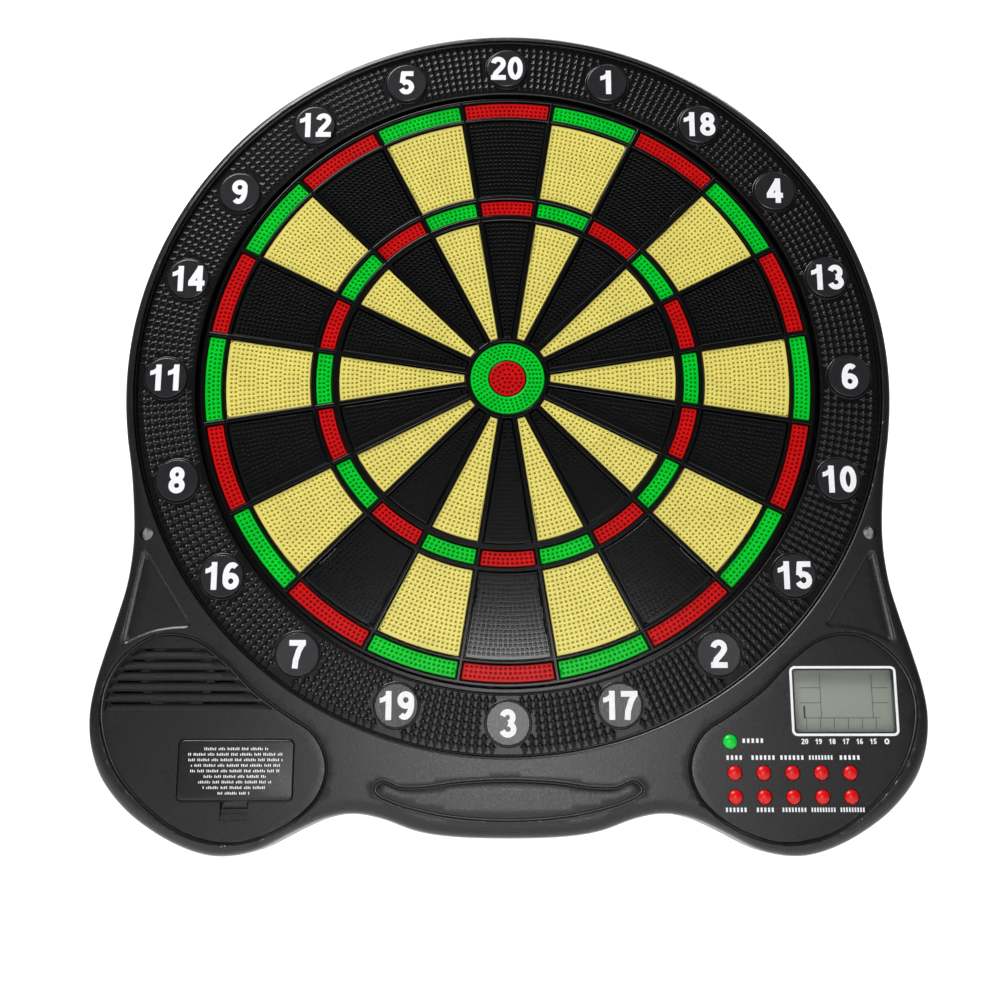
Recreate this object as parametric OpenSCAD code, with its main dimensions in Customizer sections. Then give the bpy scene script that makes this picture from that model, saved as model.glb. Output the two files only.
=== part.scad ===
// Electronic soft-tip dartboard, built as the pieces it comes apart into.
// Every piece is laid out in board coordinates: x to the right, y up the wall and z out from the wall.
// on_wall() then stands the board upright: the wall is the plane y = 0 and players look along +Y.

/* [Target] */
// Outer radius of the double ring
double_r = 171.5; // [168:0.5:173]
// Radial width of a double segment
double_w = 9.1; // [8:0.1:10]
// Outer radius of the triple ring
triple_r = 108.5; // [104:0.5:110]
// Radial width of a triple segment
triple_w = 8.5; // [7:0.1:9]
// Outer radius of the outer bull
bull_r = 21; // [19:0.5:22]
// Radius of the inner bull
inner_bull_r = 10.2; // [9:0.1:11]
// Distance from a wedge's edge line to the side of its segments
side_inset = 1.7; // [1.6:0.1:2.2]
// How far a segment is pushed in by a dart
segment_travel = 1.2; // [0.8:0.1:1.5]

/* [Case] */
// Overall depth from the wall to the front of the case
board_depth = 28; // [27:0.5:32]
// Radius of the round upper rim
rim_r = 217; // [216:0.5:218]
// Wall thickness of the case
wall_t = 2.4; // [2:0.1:2.6]
// Depth of the back cover
cover_depth = 9.5; // [8.5:0.5:11]
// How far the lobe fields lie below the front of the case
panel_sink = 1; // [0.6:0.1:1.2]

/* [Number ring] */
// Radius at which the numbers stand
number_r = 193.3; // [192.5:0.1:194]
// Radius of a number disc
disc_r = 11.8; // [10:0.1:12]
// Inner radius of the catch ring
catch_inner_r = 176.9; // [176.5:0.1:177.5]
// Outer radius of the catch ring's bead
catch_outer_r = 211.1; // [210.6:0.1:211.1]

/* [Controls] */
// Radius of a button's cap
button_r = 3.85; // [3.5:0.05:4]
// How far a button stands out of its field
button_proud = 1.8; // [1.4:0.1:2.4]
// How far a button is pushed in
button_travel = 1; // [0.6:0.1:1]
// Distance between buttons in a row
button_pitch = 15.25; // [14.5:0.25:15.25]

/* [Battery bay] */
// Width of the battery door
door_w = 61.5; // [60:0.5:61.5]
// Height of the battery door
door_h = 32; // [31.5:0.5:32]
// Thickness of the battery door
door_t = 2; // [1.8:0.1:2]

/* [Mounting] */
// Distance between the two screw holes beside the target
hole_spacing = 398; // [397:0.5:399]
// Radius of those screw holes
hole_r = 3.8; // [3:0.1:3.8]
// Distance between the two keyholes in the back
keyhole_spacing = 160; // [120:5:170]

/* [Hidden] */
NUMBERS = [20, 1, 18, 4, 13, 6, 10, 15, 2, 17, 3, 19, 7, 16, 8, 11, 14, 9, 12, 5];
BUTTONS = ["game", "option", "player", "handicap", "light", "double", "sound", "eliminate", "score", "start"];
$fn = 96;
corner_fn = 24;
eps = 0.01;
wedge_deg = 18;
half_wedge = wedge_deg / 2;

// Layers, as heights above the wall
board_z = 5.2;
board_t = 3;
film_t = 0.2;
film_r = 180;
film_z = board_z + board_t;
mat_z = film_z + 3 * film_t;
mat_t = 3;
move_gap = 0.3;
foot_z = mat_z + mat_t + segment_travel + move_gap;
foot_t = 1.4;
spider_z = foot_z + foot_t + 0.4;
face_z = board_depth - 3.5;
web_z = face_z + 1.1;
ring_z = face_z + 0.5;
ring_t = 2.5;
panel_z = board_depth - panel_sink;
panel_back_z = panel_z - wall_t;
bevel = 2;

// Target
foot_w = 1;
web_half_w = side_inset - 0.6;
web_gap = 0.6;
inner_single_r0 = bull_r + 3.4;
inner_single_r1 = triple_r - triple_w - 4.6;
outer_single_r0 = triple_r + 3.4;
outer_single_r1 = double_r - double_w - 2.8;
bull_gap = 0.7;
bull_pocket_r = inner_bull_r + 2.2;
bull_ledge_z = foot_z + 4.2;
bull_foot_t = 2.6;
rim_web_w = 2.1;
spoke_r = inner_single_r0 - web_gap - 1;
flange_r = 190.5;
flange_t = 2;

// Catch ring
bead_w = 1.5;
bead_h = 1.9;
disc_h = 2;
ring_wall_t = 1.7;
ring_lip_r = 212.9;
opening_r = 211.4;

// Screws and their bosses
screw_r = 1.45;
screw_bore_r = 1.5;
screw_clear_r = 1.7;
screw_head_r = 2.9;
screw_head_h = 2;
screw_recess_r = 3.4;
screw_recess_z = 2.6;
boss_r = 3.6;
post_r = 5;
post_z = cover_depth - 3.7;
boss_z = post_z + 0.2;
case_screw_z = 17;
rim_boss_r = 208.9;
rim_boss_top_z = ring_z - ring_t - 0.3;
rim_boss_angles = [12, 48, 90, 132, 168];
lobe_bosses = [[216, -190], [150, -250.5], [97, -234.5]];
bottom_boss = [0, -246.5];
ring_boss_count = 10;
ring_boss_r = 186;
ring_boss_outer_r = 3.4;
board_screw_z = 21;

// Mounting
tube_r = 5;
hole_y = -90;
tube_z = wall_t + move_gap;
keyhole_r = 4.5;
keyhole_slot_r = 2.3;
keyhole_slot = 7;
keyhole_pocket = [13, 19, 7];
keyhole_wall = 1.6;
pocket_shift = 2.4;
pocket_ring_r = 202.6;
keyhole_y = sqrt(pow(pocket_ring_r, 2) - pow(keyhole_spacing / 2, 2)) - pocket_shift;

// Outline of the right half below the round rim, from the rim down to the bottom centre
rim_end_deg = -8;
RIGHT_SIDE = [
    [210.3, -58], [207.4, -90], [209, -115], [213.8, -136], [219.3, -156], [223.6, -174], [225.2, -190],
    [222.8, -207], [215.6, -223.5], [202, -239], [184, -251.5], [166, -259.5], [150, -262], [132, -258.8],
    [112, -249], [97, -242.6], [82, -240.3], [67, -242.8], [48, -249.3], [28, -252.2]
];
BOTTOM = [0, -253];

// Field of the right lobe, clockwise from its inner end
LOBE = [
    [96, -216], [103, -199], [119, -187.8], [136, -175.5], [152, -159.8], [170, -147.6], [190, -146.2],
    [207, -157.3], [216.3, -174], [217, -194], [208, -217.5], [190, -237.5], [168, -251.6], [143, -255.6],
    [119, -248], [101.5, -233.5]
];

// Field beside the target on the right: two straight sides and a curved foot
PAD = [[199.7, -96.5], [209.2, -152.6], [200, -147.6], [191, -144.2], [181, -142.6], [170, -142.4]];
PAD_CORNER_R = 1.6;

// Field across the bottom: its right half, from the top centre round the tip to the bottom centre
SMILE_TOP = [0, -223.2];
SMILE = [[25, -224.4], [44, -227], [57, -227], [66, -223.8], [70.5, -227.5], [66, -232], [50, -237.5], [28, -241.8]];
SMILE_BOTTOM = [0, -243.5];
curve_steps = 4;

// Louvres over the speaker
louvre_count = 6;
louvre_top_y = -153;
louvre_pitch = 5.7;
louvre_h = 4.4;
louvre_sink = 1.2;
louvre_slot_h = 1.6;
louvre_margin = 4.5;
lobe_back_x = 100;
lobe_front_x = 230;

// Controls in the right lobe
first_button = [119.6, -219.3];
button_row_step = 12.4;
power_at = [117.8, -203];
button_gap = 0.3;
button_flange_w = 1.05;
button_flange_t = 1.5;
button_flange_top = panel_back_z - 0.7;
button_foot_z = button_flange_top - button_flange_t;
button_dome_h = 0.9;

// Display
window_x = [153.2, 206.2];
window_y = [-198, -164.8];
window_flange = 1.6;
window_flange_t = 1.4;
window_fit = 0.1;
window_sink = 0.8;
window_corner_r = 1.5;
lcd_t = 2.8;
lcd_z = panel_back_z - window_flange_t - 0.2 - lcd_t;
pcb_t = 1.6;
backlight_t = 1.8;
pcb_front_z = lcd_z - backlight_t;
connector_h = 2.2;
PCB_CORNERS = [
    [109, -197], [146, -163], [209, -163], [210, -200], [203, -214], [190, -232], [180, -239], [109, -239]
];
pcb_posts = [[145, -192], [205, -206.5], [113.3, -211], [190, -229]];
pcb_post_r = 2.8;
pcb_bore_r = 1.1;
pcb_screw_r = 1.05;
pcb_screw_head_r = 2.2;
pcb_screw_head_h = 1.6;
pcb_screw_bite = 4.6;
keypad_x = [111, 195];
keypad_y = [-237.5, -199.8];
keypad_t = 1.2;
keypad_dome_z = button_foot_z - button_travel - move_gap;
chip_at = [165, -222];
chip_w = 14;
chip_t = 1.2;
pin_count = 12;
pin_pitch = 1;
pin_w = 0.4;
pin_l = 1.2;
pin_t = 0.3;

// Battery bay in the left lobe
door_at = [-144.2, -217.6];
door_gap = 0.3;
door_corner_r = 3;
door_pin_r = 0.6;
door_pin_bore_r = 0.66;
door_pin_l = 1.2;
door_pin_bore_l = 1.6;
door_relief = 1.2;
door_top_y = door_at[1] + door_h / 2;
door_hinge = [door_top_y - door_t / 2, panel_z - door_t / 2];
latch_w = 13.4;
latch_l = 3.2;
latch_leg_z = panel_z - 3.8;
latch_top_z = panel_z - 0.6;
latch_pocket_w = 15;
latch_pocket_l = 9.8;
latch_floor_z = panel_z - 4.2;
bay_w = 57;
bay_h = 28;
bay_frame = 2.5;
bay_frame_z = panel_z - 4.4;
tray_wall = 1.5;
tray_w = 59;
tray_h = 30;
tray_z = 6;
cell_r = 7.1;
cell_l = 49.2;
nub_r = 2.7;
nub_l = 1.3;
cell_pitch = 14.6;
cell_z = tray_z + tray_wall + cell_r + 0.1;
contact_t = 0.4;
contact_h = 12;
contact_w = 11;
spring_r = 3.2;

// Speaker in the left lobe
speaker_at = [-178, -168];
speaker_r = 20;
speaker_flange_w = 3.4;
speaker_flange_t = 1.2;
speaker_z = panel_back_z - 0.2;
basket_r = 9.5;
basket_h = 9.4;
basket_t = 0.8;
magnet_r = 11;
magnet_t = 5.5;
cone_r = 15.6;
cone_neck_r = 4.5;
cone_h = 6;
cone_t = 0.6;
speaker_rib = 1.2;

// Routes of the loose wires, from the left lobe to the circuit board
wire_r = 0.7;
wire_sides = 8;
wire_pair = 3;
BATTERY_WIRE = [
    [-112, -212, 12], [-97, -216, 12], [-60, -230, 12], [60, -230, 12], [97, -217, 12], [114, -216, 16]
];
SPEAKER_WIRE = [
    [-162, -181, 11], [-150, -191, 12], [-108, -196, 12], [-97, -208, 12], [-60, -222, 12], [60, -222, 12],
    [97, -207, 12], [114, -206, 16]
];
tail_deg = -54;
tail_w = 24;
tail_t = 0.3;
tail_r = 226;

// ---------------------------------------------------------------- curves

function polar(r, a) = [r * cos(a), r * sin(a)];
function mirrored(points) = [for (p = points) [-p[0], p[1]]];
function reversed(points) = [for (i = [len(points) - 1 : -1 : 0]) points[i]];

// A point of the smooth curve through b and c, with a and d as its neighbours
function curve_point(a, b, c, d, t) =
    0.5 * (2 * b + (c - a) * t + (2 * a - 5 * b + 4 * c - d) * t * t + (3 * b - a - 3 * c + d) * t * t * t);

function closed_curve(p) = [
    for (i = [0 : len(p) - 1])
        for (k = [0 : curve_steps - 1])
            curve_point(
                p[(i + len(p) - 1) % len(p)], p[i], p[(i + 1) % len(p)], p[(i + 2) % len(p)], k / curve_steps
            )
];

function rim_arc() = [for (a = [rim_end_deg : 2 : 180 - rim_end_deg]) polar(rim_r, a)];

function lower_edge() = concat(
    [polar(rim_r, rim_end_deg + 8), polar(rim_r, rim_end_deg)],
    RIGHT_SIDE, [BOTTOM], reversed(mirrored(RIGHT_SIDE)),
    mirrored([polar(rim_r, rim_end_deg), polar(rim_r, rim_end_deg + 8)])
);

function open_curve(p) = [
    for (i = [1 : len(p) - 3])
        for (k = [0 : curve_steps - 1])
            curve_point(p[i - 1], p[i], p[i + 1], p[i + 2], k / curve_steps)
];

// ---------------------------------------------------------------- outlines

module outline() {
    polygon(concat(reversed(rim_arc()), open_curve(lower_edge())));
}

module lobe_outline(side) {
    polygon(closed_curve(side > 0 ? LOBE : reversed(mirrored(LOBE))));
}

module pad_outline(side) {
    offset(r = PAD_CORNER_R, $fn = corner_fn)
        offset(delta = -PAD_CORNER_R)
            polygon(side > 0 ? PAD : reversed(mirrored(PAD)));
}

module smile_outline() {
    polygon(closed_curve(concat([SMILE_TOP], SMILE, [SMILE_BOTTOM], reversed(mirrored(SMILE)))));
}

module rounded_box(x, y, r) {
    translate([x[0] + r, y[0] + r])
        offset(r = r, $fn = corner_fn)
            square([x[1] - x[0] - 2 * r, y[1] - y[0] - 2 * r]);
}

module centred_box(at, w, h, r) {
    rounded_box([at[0] - w / 2, at[0] + w / 2], [at[1] - h / 2, at[1] + h / 2], r);
}

// ---------------------------------------------------------------- helpers

module on_wall() {
    rotate([90, 0, 0])
        children();
}

module slab(z0, z1) {
    translate([0, 0, z0])
        linear_extrude(z1 - z0)
            children();
}

module disc(r, z0, z1) {
    translate([0, 0, z0])
        cylinder(r = r, h = z1 - z0);
}

module tube(r0, r1, z0, z1) {
    difference() {
        disc(r1, z0, z1);
        disc(r0, z0 - 1, z1 + 1);
    }
}

module at_case_bosses() {
    for (a = rim_boss_angles)
        translate(polar(rim_boss_r, a))
            children();
    for (side = [-1, 1])
        for (p = lobe_bosses)
            translate([side * p[0], p[1]])
                children();
    translate(bottom_boss)
        children();
}

module at_ring_bosses() {
    for (i = [0 : ring_boss_count - 1])
        rotate(half_wedge + i * 2 * wedge_deg)
            translate([ring_boss_r, 0])
                children();
}

module at_wall_holes() {
    for (side = [-1, 1])
        translate([side * hole_spacing / 2, hole_y])
            children();
}

module at_keyholes() {
    for (side = [-1, 1])
        translate([side * keyhole_spacing / 2, keyhole_y])
            children();
}

module at_pcb_posts() {
    for (p = pcb_posts)
        translate(p)
            children();
}

function button_at(i) = [
    first_button[0] + (i % 5) * button_pitch,
    first_button[1] - floor(i / 5) * button_row_step
];

module at_buttons() {
    translate(power_at)
        children();
    for (i = [0 : len(BUTTONS) - 1])
        translate(button_at(i))
            children();
}

module phillips(head_r, z) {
    for (a = [0, 90])
        rotate(a)
            translate([-head_r * 0.6, -head_r * 0.12, z - 0.9])
                cube([head_r * 1.2, head_r * 0.24, 1]);
}

// ---------------------------------------------------------------- case

module case_shell() {
    difference() {
        union() {
            slab(cover_depth, board_depth - bevel)
                outline();
            slab(board_depth - bevel - eps, board_depth)
                offset(delta = -bevel)
                    outline();
        }
        slab(cover_depth - 1, panel_back_z)
            offset(delta = -wall_t)
                outline();
    }
}

module case_bosses() {
    for (a = rim_boss_angles)
        rotate(a) {
            translate([rim_boss_r, 0])
                disc(boss_r, boss_z, rim_boss_top_z);
            translate([rim_boss_r + 1, -1, cover_depth])
                cube([rim_r - wall_t - rim_boss_r, 2, rim_boss_top_z - cover_depth]);
        }
    for (side = [-1, 1])
        for (p = lobe_bosses)
            translate([side * p[0], p[1]])
                disc(boss_r, boss_z, panel_back_z + 1);
    translate(bottom_boss)
        disc(boss_r, boss_z, panel_back_z + 1);
    at_wall_holes()
        disc(tube_r, tube_z, panel_back_z + 1);
    at_pcb_posts()
        disc(pcb_post_r, pcb_front_z, panel_back_z + 1);
    translate(speaker_at)
        tube(speaker_r + 0.3, speaker_r + 0.3 + speaker_rib, speaker_z - 4, panel_back_z + 1);
    slab(bay_frame_z, panel_back_z + 1)
        centred_box(door_at, door_w + 2 * bay_frame, door_h + 2 * bay_frame, door_corner_r);
    slab(bay_frame_z, panel_back_z + 1)
        translate([door_at[0] - latch_pocket_w / 2 - wall_t, door_at[1] - door_h / 2 - latch_pocket_l - wall_t])
            square([latch_pocket_w + 2 * wall_t, latch_pocket_l + wall_t]);
}

module louvre_field(margin) {
    offset(delta = -margin)
        lobe_outline(-1);
}

module louvre_cuts() {
    for (i = [0 : louvre_count - 1]) {
        y = louvre_top_y - i * louvre_pitch;
        slab(panel_z - louvre_sink, board_depth + 1)
            intersection() {
                louvre_field(2);
                translate([-lobe_front_x, y - louvre_h])
                    square([lobe_front_x - lobe_back_x, louvre_h]);
            }
        slab(panel_back_z - 1, panel_z)
            intersection() {
                louvre_field(louvre_margin);
                translate([-lobe_front_x, y - louvre_slot_h])
                    square([lobe_front_x - lobe_back_x, louvre_slot_h]);
            }
    }
}

module battery_opening() {
    slab(panel_z - door_t - door_gap, board_depth + 1)
        centred_box(door_at, door_w + 2 * door_gap, door_h + 2 * door_gap, door_corner_r);
    slab(bay_frame_z - 1, panel_z)
        centred_box(door_at, bay_w, bay_h, 1);
    slab(latch_floor_z, board_depth + 1)
        translate([door_at[0] - latch_pocket_w / 2, door_at[1] - door_h / 2 - latch_pocket_l])
            square([latch_pocket_w, latch_pocket_l + 1]);
    translate([door_at[0] - door_w / 2 - door_pin_bore_l, door_hinge[0], door_hinge[1]])
        rotate([0, 90, 0])
            cylinder(r = door_pin_bore_r, h = door_w + 2 * door_pin_bore_l, $fn = 32);
}

module front_housing() {
    color([0.24, 0.24, 0.25])
        on_wall()
            difference() {
                union() {
                    case_shell();
                    case_bosses();
                }
                for (side = [-1, 1]) {
                    slab(panel_z, board_depth + 1)
                        lobe_outline(side);
                    slab(panel_z, board_depth + 1)
                        pad_outline(side);
                }
                slab(panel_z, board_depth + 1)
                    smile_outline();
                disc(opening_r, rim_boss_top_z + eps, board_depth + 1);
                louvre_cuts();
                battery_opening();
                slab(panel_back_z - 1, board_depth + 1)
                    rounded_box(window_x, window_y, window_corner_r);
                at_buttons()
                    disc(button_r + button_gap, panel_back_z - 1, board_depth + 1);
                at_case_bosses()
                    disc(screw_bore_r, boss_z - 1, case_screw_z + 1);
                at_wall_holes()
                    disc(hole_r, tube_z - 1, board_depth + 1);
                at_pcb_posts()
                    disc(pcb_bore_r, pcb_front_z - 1, pcb_front_z + pcb_screw_bite + 0.4);
            }
}

// Floor with a low wall round it, ribs that carry the backing board, screw posts and keyhole pockets
module back_cover() {
    color([0.12, 0.12, 0.13])
        on_wall()
            difference() {
                union() {
                    slab(0, wall_t)
                        outline();
                    slab(0, cover_depth - eps)
                        difference() {
                            outline();
                            offset(delta = -wall_t)
                                outline();
                        }
                    for (r = [60, 118, 172])
                        tube(r, r + 2, wall_t - eps, board_z);
                    for (a = [0 : 45 : 315])
                        rotate(a)
                            translate([20, -1, wall_t - eps])
                                cube([154, 2, board_z - wall_t + eps]);
                    tube(20, 22, wall_t - eps, board_z);
                    at_case_bosses()
                        disc(post_r, eps, post_z);
                    at_keyholes()
                        translate([-keyhole_pocket[0] / 2, pocket_shift - keyhole_pocket[1] / 2, wall_t - eps])
                            cube(keyhole_pocket);
                }
                at_case_bosses() {
                    disc(screw_clear_r, -1, post_z + 1);
                    disc(screw_recess_r, -1, screw_recess_z);
                }
                at_wall_holes()
                    disc(hole_r, -1, wall_t + 1);
                at_keyholes() {
                    disc(keyhole_r, -1, wall_t + 1);
                    translate([0, keyhole_slot])
                        disc(keyhole_slot_r, -1, wall_t + 1);
                    translate([-keyhole_slot_r, 0, -1])
                        cube([2 * keyhole_slot_r, keyhole_slot, wall_t + 2]);
                    translate([
                        keyhole_wall - keyhole_pocket[0] / 2,
                        keyhole_wall + pocket_shift - keyhole_pocket[1] / 2,
                        wall_t
                    ])
                        cube(keyhole_pocket - [2 * keyhole_wall, 2 * keyhole_wall, keyhole_wall]);
                }
            }
}

module catch_ring() {
    color([0.06, 0.06, 0.065])
        on_wall()
            difference() {
                union() {
                    tube(catch_inner_r, catch_outer_r, ring_z - ring_t, ring_z);
                    tube(catch_inner_r, catch_inner_r + ring_wall_t, spider_z + flange_t, ring_z + 0.6);
                    tube(catch_outer_r - 1, ring_lip_r, ring_z - ring_t, panel_back_z - 0.1);
                    tube(catch_outer_r - bead_w, catch_outer_r, ring_z - 1, ring_z + bead_h);
                    for (i = [0 : len(NUMBERS) - 1])
                        rotate(90 - i * wedge_deg)
                            translate([number_r, 0])
                                disc(disc_r, ring_z - 1, ring_z + disc_h);
                    at_ring_bosses()
                        disc(ring_boss_outer_r, spider_z + flange_t, ring_z - 1);
                }
                at_ring_bosses()
                    disc(screw_bore_r, spider_z, board_screw_z + 0.5);
            }
}

module ring_plan(r0, r1) {
    difference() {
        circle(r = r1);
        circle(r = r0);
    }
}

// Five rings joined by twenty spokes
module web_plan() {
    ring_plan(bull_r + web_gap, inner_single_r0 - web_gap);
    ring_plan(inner_single_r1 + web_gap, triple_r - triple_w - web_gap);
    ring_plan(triple_r + web_gap, outer_single_r0 - web_gap);
    ring_plan(outer_single_r1 + web_gap, double_r - double_w - web_gap);
    ring_plan(double_r + web_gap, double_r + web_gap + rim_web_w);
    for (i = [0 : len(NUMBERS) - 1])
        rotate(half_wedge + i * wedge_deg)
            translate([spoke_r, -web_half_w])
                square([double_r + web_gap + 1 - spoke_r, 2 * web_half_w]);
}

module spider() {
    color([0.05, 0.05, 0.05])
        on_wall()
            difference() {
                union() {
                    slab(spider_z, web_z)
                        web_plan();
                    tube(double_r + web_gap + 1, flange_r, spider_z, spider_z + flange_t);
                    at_ring_bosses()
                        disc(ring_boss_outer_r, board_z + board_t, spider_z + flange_t / 2);
                }
                at_ring_bosses()
                    disc(screw_clear_r, board_z, spider_z + flange_t + 1);
            }
}

module backing_board() {
    color([0.42, 0.3, 0.2])
        on_wall()
            difference() {
                disc(flange_r, board_z, board_z + board_t);
                at_ring_bosses()
                    disc(screw_clear_r, board_z - 1, board_z + board_t + 1);
            }
}

module film(layer) {
    disc(film_r, film_z + layer * film_t, film_z + (layer + 1) * film_t);
}

module membrane_rear() {
    color([0.75, 0.8, 0.8])
        on_wall()
            film(0);
}

// The spacer has a window under every ring of segments, so the two films can touch there
module membrane_spacer() {
    windows = [[28, 88], [102, 107], [120, 152], [164, 170]];
    color([0.85, 0.85, 0.7])
        on_wall()
            difference() {
                film(1);
                for (i = [0 : len(NUMBERS) - 1])
                    rotate(90 - i * wedge_deg)
                        for (w = windows)
                            translate([(w[0] + w[1]) / 2, 0])
                                disc((w[1] - w[0]) / 8 + 1.5, film_z, film_z + 3 * film_t);
                disc(7, film_z, film_z + 3 * film_t);
            }
}

module membrane_front() {
    color([0.75, 0.8, 0.85])
        on_wall()
            film(2);
}

// A flat cable from the films out to the circuit board, bent up at its end
module membrane_tail() {
    color([0.8, 0.75, 0.6])
        on_wall()
            rotate(tail_deg) {
                translate([film_r, -tail_w / 2, film_z])
                    cube([tail_r - film_r, tail_w, tail_t]);
                translate([tail_r - tail_t, -tail_w / 2, film_z])
                    cube([tail_t, tail_w, pcb_front_z - pcb_t - film_z]);
            }
}

module damping_sheet() {
    color([0.18, 0.18, 0.2])
        on_wall()
            disc(double_r + 4, mat_z, mat_z + mat_t);
}

// ---------------------------------------------------------------- segments

module wedge_field(inset) {
    reach = 2 * double_r;
    apex = inset / sin(half_wedge);
    polygon([
        [apex, 0],
        [apex + reach * cos(half_wedge), -reach * sin(half_wedge)],
        [apex + reach * cos(half_wedge), reach * sin(half_wedge)]
    ]);
}

module segment_layer(r0, r1, inset) {
    intersection() {
        ring_plan(r0, r1);
        wedge_field(inset);
    }
}

module segment(r0, r1) {
    slab(foot_z, foot_z + foot_t)
        segment_layer(r0 - foot_w, r1 + foot_w, side_inset - foot_w);
    slab(foot_z + foot_t - eps, face_z)
        segment_layer(r0, r1, side_inset);
}

// The four segments of one number: double, outer single, triple and inner single
module number_wedge(i) {
    dark = i % 2 == 0;
    ring_colour = dark ? [0.8, 0.1, 0.12] : [0.05, 0.65, 0.2];
    field_colour = dark ? [0.04, 0.04, 0.04] : [0.9, 0.86, 0.5];
    on_wall()
        rotate(90 - i * wedge_deg) {
            color(ring_colour) {
                segment(double_r - double_w, double_r);
                segment(triple_r - triple_w, triple_r);
            }
            color(field_colour) {
                segment(outer_single_r0, outer_single_r1);
                segment(inner_single_r0, inner_single_r1);
            }
        }
}

module bull_outer() {
    color([0.05, 0.65, 0.2])
        on_wall()
            difference() {
                union() {
                    disc(bull_r, foot_z, face_z);
                    disc(bull_r + foot_w, foot_z, foot_z + foot_t);
                }
                disc(inner_bull_r + bull_gap, foot_z - 1, face_z + 1);
                disc(bull_pocket_r, foot_z - 1, bull_ledge_z);
            }
}

module bull_inner() {
    color([0.8, 0.1, 0.12])
        on_wall() {
            disc(inner_bull_r, foot_z, face_z);
            disc(bull_pocket_r - 0.5, foot_z, foot_z + bull_foot_t);
        }
}

// ---------------------------------------------------------------- controls

// A cap with a domed top and a flange that holds it behind the case
module button_solid() {
    top = panel_z + button_proud;
    dome_r = (button_r * button_r + button_dome_h * button_dome_h) / (2 * button_dome_h);
    disc(button_r, button_foot_z, top - button_dome_h);
    disc(button_r + button_flange_w, button_foot_z, button_flange_top);
    intersection() {
        disc(button_r, top - button_dome_h - eps, top);
        translate([0, 0, top - dome_r])
            sphere(r = dome_r, $fn = 64);
    }
}

module power_button() {
    color([0.05, 0.75, 0.3])
        on_wall()
            translate(power_at)
                button_solid();
}

module game_key(i) {
    color([0.75, 0.06, 0.08])
        on_wall()
            translate(button_at(i))
                button_solid();
}

module keypad_membrane() {
    color([0.5, 0.5, 0.52])
        on_wall()
            difference() {
                union() {
                    slab(pcb_front_z, pcb_front_z + keypad_t)
                        rounded_box(keypad_x, keypad_y, 2);
                    at_buttons()
                        disc(button_r - 0.4, pcb_front_z, keypad_dome_z);
                }
                at_pcb_posts()
                    disc(pcb_post_r + 0.4, pcb_front_z - 1, pcb_front_z + keypad_t + 1);
            }
}

module circuit_board() {
    color([0.1, 0.4, 0.2])
        on_wall()
            difference() {
                slab(pcb_front_z - pcb_t, pcb_front_z)
                    polygon(PCB_CORNERS);
                at_pcb_posts()
                    disc(pcb_screw_r + 0.25, pcb_front_z - pcb_t - 1, pcb_front_z + 1);
            }
}

module controller_chip() {
    color([0.08, 0.08, 0.08])
        on_wall()
            translate([chip_at[0], chip_at[1], pcb_front_z - pcb_t - chip_t]) {
                translate([-chip_w / 2, -chip_w / 2, 0])
                    cube([chip_w, chip_w, chip_t]);
                for (a = [0 : 90 : 270])
                    rotate(a)
                        for (i = [0 : pin_count - 1])
                            translate([chip_w / 2 - eps, (i - pin_count / 2 + 0.3) * pin_pitch, chip_t - pin_t])
                                cube([pin_l, pin_w, pin_t]);
            }
}

module lcd_panel() {
    color([0.6, 0.62, 0.58])
        on_wall()
            slab(lcd_z, lcd_z + lcd_t)
                translate([window_x[0] - window_flange, window_y[0] - window_flange])
                    square([
                        window_x[1] - window_x[0] + 2 * window_flange,
                        window_y[1] - window_y[0] + 2 * window_flange
                    ]);
}

module lcd_backlight() {
    color([0.95, 0.95, 0.9])
        on_wall()
            slab(pcb_front_z, lcd_z)
                translate([window_x[0] - window_flange, window_y[0] + 1.5])
                    square([window_x[1] - window_x[0] + 2 * window_flange, window_y[1] - window_y[0]]);
}

module lcd_connector() {
    color([0.85, 0.6, 0.65])
        on_wall()
            slab(pcb_front_z, lcd_z)
                translate([window_x[0], window_y[0] - window_flange])
                    square([window_x[1] - window_x[0], connector_h]);
}

// A clear pane that fills the opening, with a flange behind the case
module display_window() {
    color([0.85, 0.9, 0.9, 0.5])
        on_wall() {
            slab(panel_back_z - window_flange_t, panel_back_z)
                rounded_box(
                    window_x + [-window_flange, window_flange], window_y + [-window_flange, window_flange], 1
                );
            slab(panel_back_z - eps, panel_z - window_sink)
                rounded_box(window_x + [window_fit, -window_fit], window_y + [window_fit, -window_fit], window_corner_r);
        }
}

// ---------------------------------------------------------------- speaker

module speaker_frame() {
    color([0.55, 0.55, 0.57])
        on_wall()
            translate([speaker_at[0], speaker_at[1], speaker_z])
                rotate_extrude()
                    polygon([
                        [speaker_r, 0], [speaker_r, -speaker_flange_t], [speaker_r - speaker_flange_w, -speaker_flange_t],
                        [basket_r, -basket_h], [2, -basket_h], [2, -basket_h + basket_t],
                        [basket_r - 0.5, -basket_h + basket_t], [speaker_r - speaker_flange_w - 0.6, 0]
                    ]);
}

module speaker_magnet() {
    color([0.3, 0.3, 0.32])
        on_wall()
            translate(speaker_at)
                disc(magnet_r, speaker_z - basket_h - magnet_t, speaker_z - basket_h);
}

module speaker_cone() {
    color([0.12, 0.12, 0.12])
        on_wall()
            translate([speaker_at[0], speaker_at[1], speaker_z - 0.4])
                rotate_extrude()
                    polygon([
                        [cone_r, 0], [cone_neck_r, -cone_h], [0, -cone_h + 1.6],
                        [0, -cone_h + 1.6 + cone_t], [cone_neck_r, -cone_h + cone_t + 0.2], [cone_r, cone_t / 2]
                    ]);
}

// ---------------------------------------------------------------- battery bay

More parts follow.
